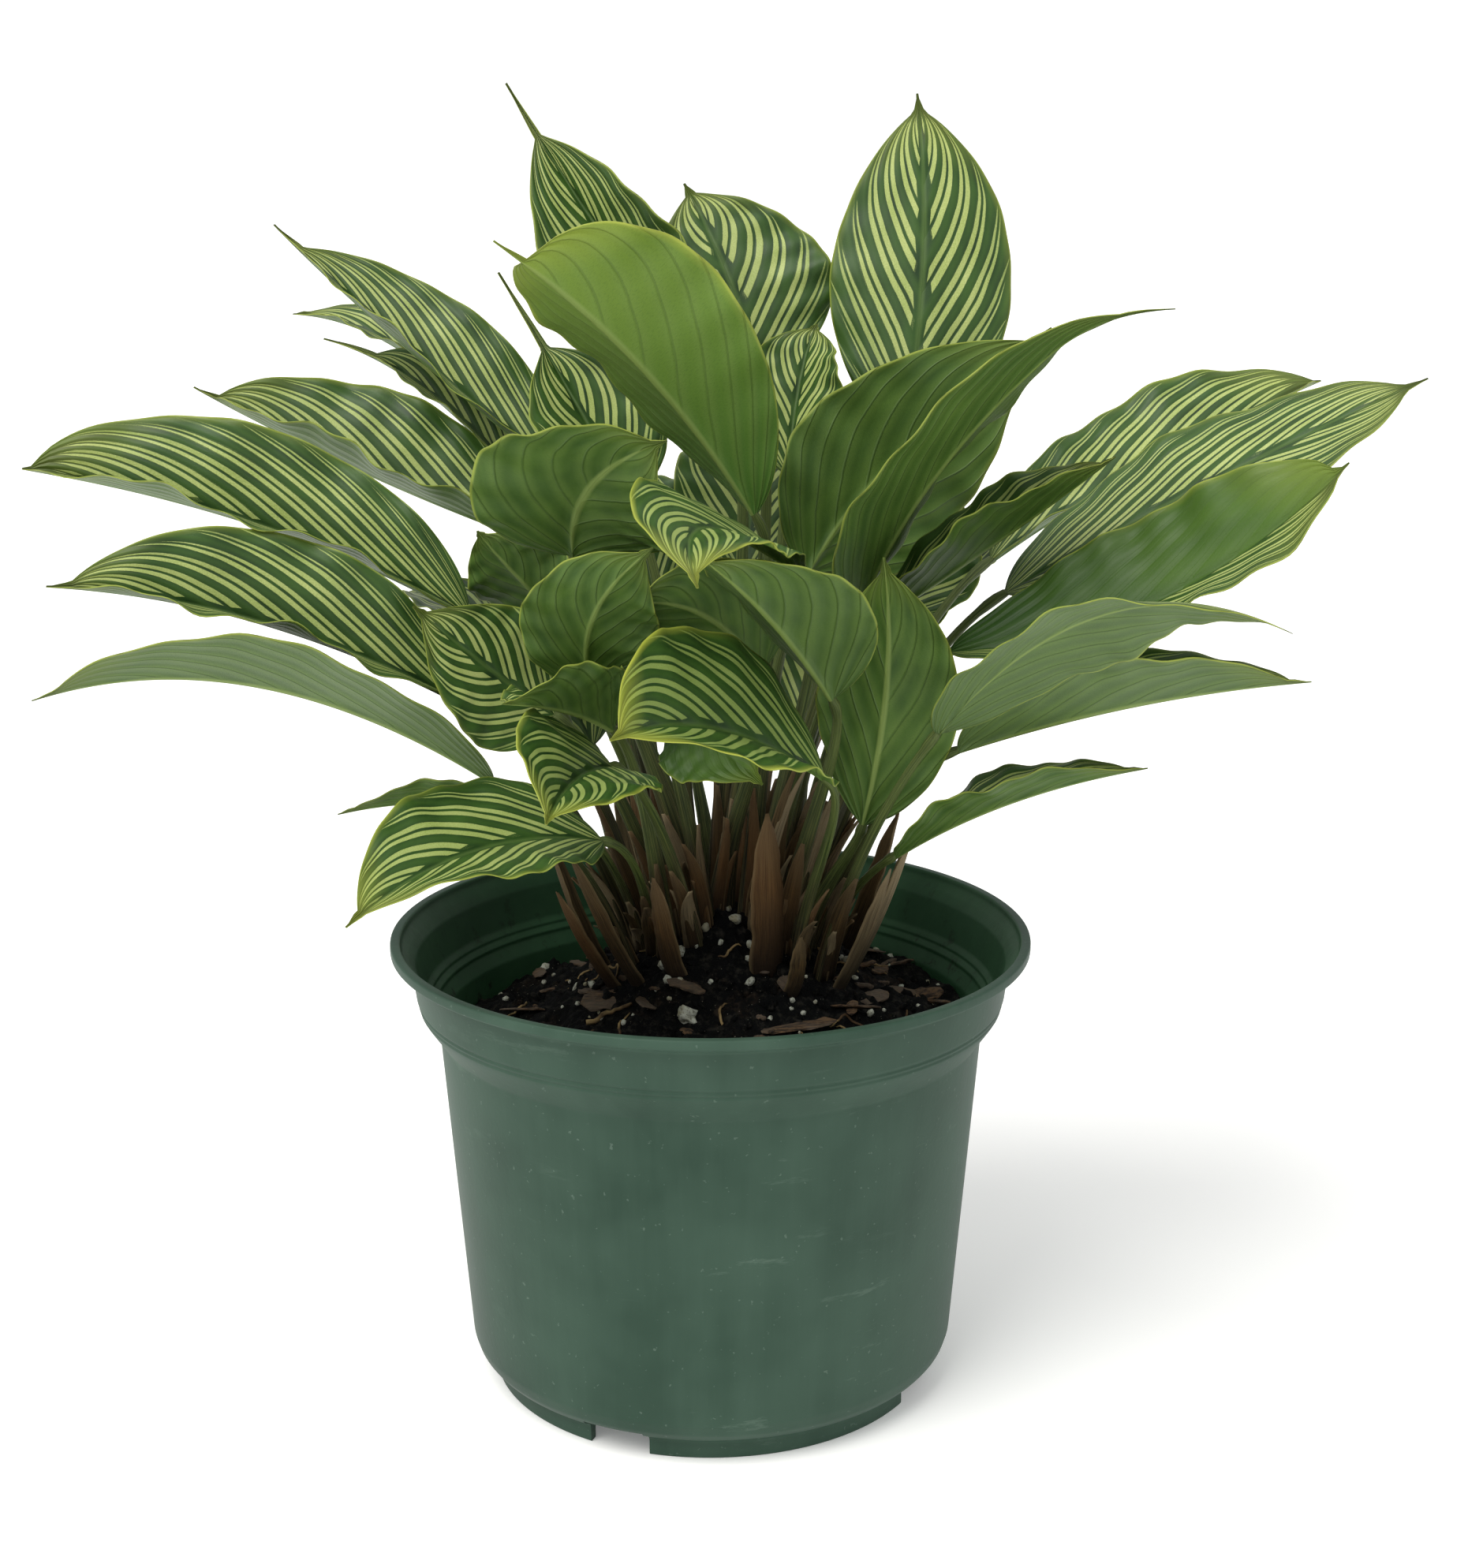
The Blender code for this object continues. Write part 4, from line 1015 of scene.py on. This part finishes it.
def leaf_mesh(name, rings, along, stem_count, finishes, maps):
    """A closed piece through a leaf's rings, with maps that say where on the leaf each point lies."""
    count = len(rings[0])
    half = count // 2
    top_u = [-u for u in COLUMNS[::-1]] + [0.0] + list(COLUMNS)
    ring_u = top_u + top_u[::-1]
    points = [point for ring in rings for point in ring]
    faces, kinds, places, flats = [], [], [], []
    for row in range(len(rings) - 1):
        low, high = row * count, (row + 1) * count
        for j in range(count):
            k = (j + 1) % count
            faces.append((low + j, low + k, high + k, high + j))
            kind = STEM if row < stem_count else (UPPER if j < half - 1 else UNDER)
            kinds.append(kind)
            for at_row, at in ((row, j), (row, j + 1), (row + 1, j + 1), (row + 1, j)):
                if kind == STEM:
                    s = 1.0 if at_row >= stem_count else along[at_row] * STEM_MAP
                    places.append((s, at / count))
                    flats.append((FLAT_MARGIN + FLAT_LENGTH * s, FLAT_MARGIN + FLAT_STEM_WIDTH * at / count))
                    continue
                u = ring_u[at % count]
                if kind == UNDER and at % count < half:
                    u *= RIM_MAP
                places.append((along[at_row], u))
                flat_height = FLAT_BLADE_START + FLAT_BLADE_LENGTH * along[at_row]
                flats.append((FLAT_FACE_MIDDLES[kind] + FLAT_HALF_WIDTH * u, flat_height))
    last = (len(rings) - 1) * count
    foot, tip = tuple(range(count - 1, -1, -1)), tuple(range(last, last + count))
    for cap, kind, end in ((foot, STEM, 0.0), (tip, UPPER, 1.0)):
        faces.append(cap)
        kinds.append(kind)
        places.extend([(end, 0.0)] * count)
        flats.extend([(FLAT_CAP, FLAT_CAP)] * count)
    piece = add_piece(name, points, faces, finishes)
    mesh = piece.data
    mesh.polygons.foreach_set("material_index", kinds)
    whole = {map_name: [value] * len(places) for map_name, value in maps.items()}
    for map_name, values in {"blade": places, **whole, "OFBake": flats}.items():
        layer = mesh.uv_layers.new(name=map_name)
        layer.data.foreach_set("uv", np.array(values, np.float32).ravel())
    return piece


class LeafFinish(Finish):
    """A finish on a leaf, which reads how far along the leaf and how far across it a point lies."""

    def __init__(self, name, **constants):
        super().__init__(name, **constants)
        self.place, self.along, self.side = self.read_map("blade")
        self.seed, self.yellow = self.read_map("leaf")[1:]

    def read_map(self, name):
        """A map of the piece, whole and as its two values."""
        place = self.node("UVMap", {"uv_map": name}, {})
        values = [self.node("SeparateXYZ", {}, {"Vector": place}, output=axis) for axis in ("X", "Y")]
        return place, *values

    def veins(self):
        """Distance across, the run of the side veins counted in pairs, which half, and plainness."""
        pairs, plain = self.read_map("marks")[1:]
        across = abs(self.side)
        drift = self.noise(self.place, (6.0, 2.0, 1.0), 2.0) - 0.5
        run = self.along - (across + across**3.0 * VEIN_CURVE) * VEIN_SWEEP
        half = self.side.above(0.0, 0.001)
        phase = run * pairs + half * HALVES_APART + self.seed * 3.7 + drift * VEIN_DRIFT + 20.0
        return across, phase, half, plain

    def tint(self, colour, share=1.0):
        """Turns a colour yellow at the tip and along the edge, on leaves that have begun to fade."""
        edge = abs(self.side).above(0.95, 0.08) * self.along.above(0.5, 0.4)
        fade = ((self.along + (abs(self.side) * 0.12)).above(0.92, 0.2) * 0.8).math("MAXIMUM", edge)
        return self.mix(colour, paint(178, 184, 70), fade * self.yellow * share)


def upper_finish():
    """Upper face: satin dark green, pairs of pale stripes with the side vein dark between them."""
    finish = LeafFinish("leaf_upper_face", specular_ior_level=0.32)
    across, phase, half, plain = finish.veins()
    fine = finish.noise(finish.place, (240.0, 60.0, 1.0), 4.0, 0.6)
    away = abs(phase.math("FRACT") - 0.5)
    number = (phase * 2.0).math("FLOOR") + half * 31.0 + finish.seed * 57.0
    luck = finish.node("TexWhiteNoise", {"noise_dimensions": "1D"}, {"W": number})
    start = (across - luck * 0.05).above(0.05, 0.025)
    late = ((luck * 0.14 + 0.89 - across) / 0.38).clamped() ** 0.4
    before_tip = finish.along.below(0.93, 0.05)
    width = start * late * before_tip * (luck * 0.06 + 0.28)
    band = (width - away + (fine - 0.5) * 0.03).above(0.01, 0.02)
    vein = (away + (fine - 0.5) * 0.02).below(0.07, 0.03)
    unmarked = (plain - half).clamped()
    stripe = band * (1.0 - vein)
    cloud = finish.noise(finish.place, (5.0, 3.0, 1.0))
    green = finish.mix(paint(24, 50, 18), paint(48, 80, 28), cloud.above(0.5, 0.35))
    shown = finish.mix(green, paint(66, 98, 36), away.above(0.36, 0.2) * 0.35)
    margin = finish.mix(shown, paint(70, 100, 38), across.above(0.9, 0.2) * 0.5)
    midrib = finish.mix(margin, paint(84, 110, 52), across.below(0.03, 0.03) * 0.55)
    pale = finish.mix(paint(150, 168, 84), paint(200, 208, 136), (fine * 0.6 + cloud * 0.4).above(0.5, 0.3))
    # Stripes turn greener towards the edge, their own colour, and towards the foot of the blade, which is
    # painted shade near the clump.
    greener = (across.above(0.55, 0.5) * 0.45 + finish.along.below(0.2, 0.3) * 0.4) * (luck * 0.6 + 0.4)
    greener = greener.math("MAXIMUM", finish.yellow * 0.8)
    striped = finish.mix(midrib, finish.mix(pale, paint(96, 126, 50), greener), stripe * 0.95)
    lighter = (cloud * 0.5 + finish.along * 0.5).above(0.5, 0.5)
    bare = finish.mix(paint(44, 74, 26), paint(78, 108, 40), lighter)
    marked = finish.mix(striped, bare, unmarked)
    rim = finish.mix(marked, paint(142, 156, 66), across.above(0.985, 0.015) * 0.75)
    finish.set(base_color=finish.tint(rim), roughness=0.38 + fine * 0.14)
    pleat = (away * 2.0).math("SMOOTH_MIN", 0.9, 0.3)
    finish.relief(pleat * 0.75 + stripe * 0.1 + fine * 0.12, 0.0008, 0.8)
    return finish


def under_finish():
    """Underside: plain satin green with darker side veins, fine ribs and a pale midrib."""
    finish = LeafFinish("leaf_underside", specular_ior_level=0.3)
    across, phase = finish.veins()[:2]
    fine = finish.noise(finish.place, (420.0, 26.0, 1.0), 3.0, 0.6)
    away = abs(phase.math("FRACT") - 0.5)
    cloud = finish.noise(finish.place, (4.0, 2.5, 1.0))
    bloom, fresh = finish.read_map("bloom")[1:]
    green = finish.mix(paint(50, 80, 27), paint(80, 110, 41), cloud.above(0.5, 0.5))
    # Painted light: brightens the underside towards the tip as if light shone through the blade.
    glowing = finish.mix(green, finish.mix(paint(66, 106, 35), paint(116, 142, 48), finish.along), fresh)
    # Painted sheen: greys the underside as the whitish reflection on the lower leaves.
    sheened = finish.mix(glowing, paint(96, 114, 78), bloom * 0.55)
    shown = finish.mix(sheened, paint(112, 138, 66), away.below(0.26, 0.25) * 0.3)
    ribbed = finish.mix(shown, paint(50, 76, 30), fine.above(0.56, 0.1) * 0.2)
    vein = (away + (fine - 0.5) * 0.03).below(0.035, 0.05) * across.above(0.05, 0.05)
    veined = finish.mix(ribbed, paint(50, 76, 32), vein * (0.42 - fresh * 0.2))
    midrib = finish.mix(veined, paint(128, 148, 78), across.below(0.035, 0.03) * 0.8)
    rim = finish.mix(midrib, paint(142, 156, 66), across.above(0.98, 0.02) * 0.8)
    finish.set(base_color=finish.tint(rim, 0.8), roughness=0.46 + fine * 0.12)
    pleat = (away * 2.0).math("SMOOTH_MIN", 0.9, 0.3)
    finish.relief(fine * 0.2 - pleat * 0.75 + vein * 0.4, 0.0008, 0.8)
    return finish


def stem_finish():
    """Petiole: olive green, streaked along its length, brown and papery towards the foot."""
    finish = LeafFinish("petiole", specular_ior_level=0.35)
    streak = finish.noise(finish.place, (3.0, 46.0, 1.0), 4.0, 0.6)
    patches = finish.noise(finish.place, (9.0, 6.0, 1.0)) + finish.seed * 0.2
    green = finish.mix(paint(42, 58, 22), paint(104, 118, 60), streak.above(0.5, 0.25))
    low = (finish.along + patches * 0.4).below(0.62, 0.4)
    brown = finish.mix(paint(24, 19, 12), paint(92, 78, 50), streak.above(0.55, 0.2))
    finish.set(base_color=finish.mix(green, brown, low * 0.9), roughness=0.5 + low * 0.25)
    finish.relief(streak, 0.0005, 0.7)
    return finish


leaf_finishes = [upper_finish(), under_finish(), stem_finish()]
for index, measures in enumerate(LEAVES):
    rings, along, stem_count = leaf_rings(measures, index)
    length = (measures.tip - measures.neck).length
    maps = {
        "leaf": ((index * 0.618) % 1.0, measures.yellow),
        "marks": (max(length / VEIN_SPACING, FEWEST_PAIRS), measures.plain),
        "bloom": (measures.bloom, measures.fresh),
    }
    piece = leaf_mesh("foliage_" + measures.name, rings, along, stem_count, leaf_finishes, maps)
    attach(piece, "root")
    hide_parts("leaf_" + measures.name)

# Dry sheaths: the brown papery bases of old leaves, curled round the outside of the clump.
# They are split and frayed along their fibres, and stand in the soil with the stems.

SHEATH_ROWS = 30
SHEATH_BURIED = 0.08
SHEATH_TAPER = 4.5
SHEATH_CURL = (60.0, 60.0)
SHEATH_BOW = 2.0
SHEATH_RIB = 0.3
EDGE_FRAY = 0.9
EDGE_FRAY_PITCH = 0.3
WIDTH_FRAY = 0.12
WIDTH_FRAY_PITCH = 7.0
SHEATH_TONES = (0.1, 0.7, 0.9, 0.05, 0.3, 0.2, 0.45, 0.6, 0.8, 0.35, 0.5)

# Each sheath: its place on the soil (x, y), its tip and its width.
SHEATHS = (
    ((24, -15), (22, -22, 238), 18),
    ((53, -8), (70, -17, 214), 13),
    ((58, 8), (80, 4, 222), 14),
    ((-41, 0), (-60, -14, 204), 16),
    ((-31, -10), (-54, -24, 222), 13),
    ((-15, -16), (-22, -28, 214), 12),
    ((33, -24), (35, -29, 190), 10),
    ((-46, 24), (-66, 30, 214), 14),
    ((-26, 58), (-40, 74, 220), 14),
    ((14, 64), (18, 82, 220), 14),
    ((58, 42), (78, 52, 218), 14),
)


def strip_rings(centres, tangents, reaches, side, seed):
    """Rings of one papery strip along a path, curled across its width and frayed at its edges."""
    rings = []
    for row, (centre, tangent, reach) in enumerate(zip(centres, tangents, reaches)):
        right = direction_from(side, tangent)
        fray = EDGE_FRAY * noise.noise(Vector((row * EDGE_FRAY_PITCH, seed * 1.7, 2.0)))
        ring = blade_ring(centre, tangent, right, -right, reach, SHEATH_CURL, (fray, -fray), SHEATH_RIB)
        rings.append(ring)
    return rings


def way_out(root, back=0.0):
    """The level way from the middle of the clump, or from a point further back, to a foot."""
    return Vector((root.x - MOUND_CENTRE[0], root.y - MOUND_CENTRE[1] - back, 0.0)).normalized()


def sheath_rings(place, tip, width, seed):
    """Rings of one sheath, from its buried foot to its torn tip, and how far along each one lies."""
    root, tip = foot_of(place), Vector(tip)
    out = way_out(root)
    middle = (root + tip) * 0.5 + out * SHEATH_BOW
    centres, tangents, reaches, along = [], [], [], []
    for row in range(SHEATH_ROWS):
        t = (1.0 + SHEATH_BURIED) * row / (SHEATH_ROWS - 1) - SHEATH_BURIED
        centre, tangent = bend_curve(root, middle, tip, t)
        reach = max(width * 0.5 * (1.0 - max(t, 0.0) ** SHEATH_TAPER), TIP_REACH)
        centres.append(centre)
        tangents.append(tangent)
        fray = WIDTH_FRAY * noise.noise(Vector((t * WIDTH_FRAY_PITCH, seed * 3.1, 0.0)))
        reaches.append(reach * (1.0 + fray))
        along.append(max(t, 0.0))
    return strip_rings(centres, tangents, reaches, UP.cross(out), seed), along


def sheath_finish():
    """Dry sheath: grey-tan to red-brown parchment with long fibres, near-black at the foot as painted shade
    deep in the clump.
    """
    finish = LeafFinish("dry_sheath", specular_ior_level=0.25)
    fibre = finish.noise(finish.place, (2.5, 22.0, 1.0), 5.0, 0.7)
    patches = finish.noise(finish.place, (3.0, 1.5, 1.0), 2.0) + finish.seed * 0.3
    brown = finish.mix(paint(32, 25, 16), paint(112, 90, 54), fibre.above(0.5, 0.25))
    rusty = finish.seed.below(0.2, 0.25) * 0.6 + patches.above(0.66, 0.16) * 0.15
    red = finish.mix(brown, finish.mix(paint(80, 56, 32), paint(132, 92, 52), fibre), rusty)
    bleached = finish.seed.above(0.7, 0.4) * 0.75 + finish.along.above(0.8, 0.5) * 0.2
    grey = finish.mix(red, paint(176, 160, 126), bleached.math("MINIMUM", 0.9) * fibre.above(0.42, 0.3))
    # Painted shade: the foot turns near-black where the clump is deepest.
    foot = finish.mix(grey, paint(24, 17, 11), (finish.along + fibre * 0.3).below(0.46, 0.55) * 0.9)
    dry = finish.mix(foot, paint(150, 130, 94), abs(finish.side).above(0.9, 0.2) * 0.4)
    finish.set(base_color=dry, roughness=0.7 + fibre * 0.15)
    finish.relief(fibre, 0.0007, 0.8)
    return finish


parchment = sheath_finish()
sheath_finishes = [parchment] * 3
for index, (place, tip, width) in enumerate(SHEATHS):
    rings, along = sheath_rings(place, tip, width, index)
    name = f"papery_sheath_{index + 1:02d}"
    piece = leaf_mesh(name, rings, along, 0, sheath_finishes, {"leaf": (SHEATH_TONES[index], 0.0)})
    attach(piece, "root")
    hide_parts(f"sheath_{index + 1:02d}")

# Shreds: narrower dry strips of the same brown parchment, left by leaves that have withered away.
# They still cling to the feet of the petioles and bend away from them at the top.

SHREDS_EACH = 3
SHRED_ROWS = 12
SHRED_REACH = (0.14, 0.4)
SHRED_WIDTH = (6.0, 11.0)
SHRED_NARROWING = 0.3
SHRED_OFFSET = 3.0
SHRED_CLOSING = 0.4
SHRED_FLARE = 2.0
SHRED_SUNK = 2.0
SHRED_BACK = 30.0


def shred_rings(measures, index, number):
    """Rings of a dry strip that clings to the foot of one leaf's petiole."""
    chance = random.Random(index * 7 + number)
    root = foot_of(measures.place)
    curve = stem_curve(root, measures.neck, midrib(measures, 0.0)[1])
    height = chance.uniform(*SHRED_REACH)
    width = chance.uniform(*SHRED_WIDTH)
    out = Quaternion(UP, chance.uniform(-1.0, 1.0)) @ way_out(root, SHRED_BACK)
    centres, tangents, reaches, along = [], [], [], []
    for row in range(SHRED_ROWS):
        t = row / (SHRED_ROWS - 1)
        centre, tangent = bezier(curve, t * height)
        away = SHRED_OFFSET * (1.0 - SHRED_CLOSING * t) + SHRED_FLARE * t**3 * number
        centres.append(centre + direction_from(out, tangent) * away - UP * (SHRED_SUNK * (1.0 - t)))
        tangents.append(tangent)
        narrow = (1.0 - t**SHEATH_TAPER) * (1.0 - SHRED_NARROWING * t)
        reaches.append(max(width * 0.5 * narrow, TIP_REACH))
        along.append(t)
    return strip_rings(centres, tangents, reaches, UP.cross(out), index + number * 0.5), along


shreds = bmesh.new()
for index, measures in enumerate(LEAVES):
    for number in range(1, SHREDS_EACH + 1):
        rings, along = shred_rings(measures, index, number)
        tone = (index * 0.37 + number * 0.53) % 1.0
        strip = leaf_mesh("strip", rings, along, 0, sheath_finishes, {"leaf": (tone, 0.0)})
        shreds.from_mesh(strip.data)
        bpy.data.objects.remove(strip)
mesh = bpy.data.meshes.new("papery_shreds")
shreds.to_mesh(mesh)
shreds.free()
mesh.uv_layers.remove(mesh.uv_layers["OFBake"])
mesh.materials.append(parchment.material)
mesh.polygons.foreach_set("material_index", [0] * len(mesh.polygons))
papery_shreds = add_object("papery_shreds", mesh)
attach(papery_shreds, "root")

# Studio, in metres: a white seamless floor and backdrop, a broad soft key from the upper left and a
# weak fill at the right. The camera stands where the photograph was taken from.

FLOOR_SIZE = 12.0
FLOOR_GLOW = 0.16
WORLD_GLOW = 0.7
WORLD_SEEN = 1.1
PLANT_MIDDLE = Vector((0.0, 0.0, 0.25))
KEY_PLACE = (-1.0, -1.0, 2.2)
KEY_STRENGTH = 2.6
KEY_SPREAD = 42.0
KEY_COLOUR = (1.0, 0.985, 0.95)
FILL_PLACE = (1.3, -0.7, 0.9)
FILL_POWER = 1.2
FILL_SIZE = 1.2
FILL_COLOUR = (0.95, 0.98, 1.0)
CAMERA_PLACE = (0.0, -0.952, 0.492)
CAMERA_DOWN = 14.6
CAMERA_RIGHT = 0.56
CAMERA_LENS = 57.44
CAMERA_NEAREST = 0.05

floor_mesh = bpy.data.meshes.new("floor")
floor_corners = [(x * FLOOR_SIZE, y * FLOOR_SIZE, 0.0) for x, y in ((-1, -1), (1, -1), (1, 1), (-1, 1))]
floor_mesh.from_pydata(floor_corners, [], [(0, 1, 2, 3)])
floor = add_object("floor", floor_mesh)
paper = Finish("floor_paper", base_color=paint(250, 250, 249), roughness=0.85)
paper.set(emission_color=paint(255, 255, 255), emission_strength=FLOOR_GLOW)
floor_mesh.materials.append(paper.material)


def add_light(name, kind, place, **settings):
    """A lamp that looks from its place at the middle of the plant."""
    lamp = bpy.data.lights.new(name, kind)
    for setting, value in settings.items():
        setattr(lamp, setting, value)
    holder = add_object(name, lamp)
    holder.location = place
    holder.rotation_euler = (PLANT_MIDDLE - Vector(place)).to_track_quat("-Z", "Y").to_euler()


spread = math.radians(KEY_SPREAD)
add_light("key", "SUN", KEY_PLACE, energy=KEY_STRENGTH, color=KEY_COLOUR, angle=spread)
disk = {"shape": "DISK", "size": FILL_SIZE}
add_light("fill", "AREA", FILL_PLACE, energy=FILL_POWER, color=FILL_COLOUR, **disk)

world = bpy.data.worlds.new("studio")
world.use_nodes = True
sky = world.node_tree.nodes["Background"]
seen = world.node_tree.nodes.new("ShaderNodeLightPath").outputs["Is Camera Ray"]
glow = Wire(world.node_tree, seen) * (WORLD_SEEN - WORLD_GLOW) + WORLD_GLOW
join(world.node_tree, glow, sky.inputs["Strength"])
sky.inputs["Color"].default_value = (1.0, 1.0, 1.0, 1.0)
bpy.context.scene.world = world
bpy.context.scene.view_settings.view_transform = "Standard"

camera = add_object("camera", bpy.data.cameras.new("camera"))
camera.location = CAMERA_PLACE
camera.rotation_euler = (math.radians(90.0 - CAMERA_DOWN), 0.0, math.radians(-CAMERA_RIGHT))
camera.data.lens = CAMERA_LENS
camera.data.clip_start = CAMERA_NEAREST
bpy.context.scene.camera = camera
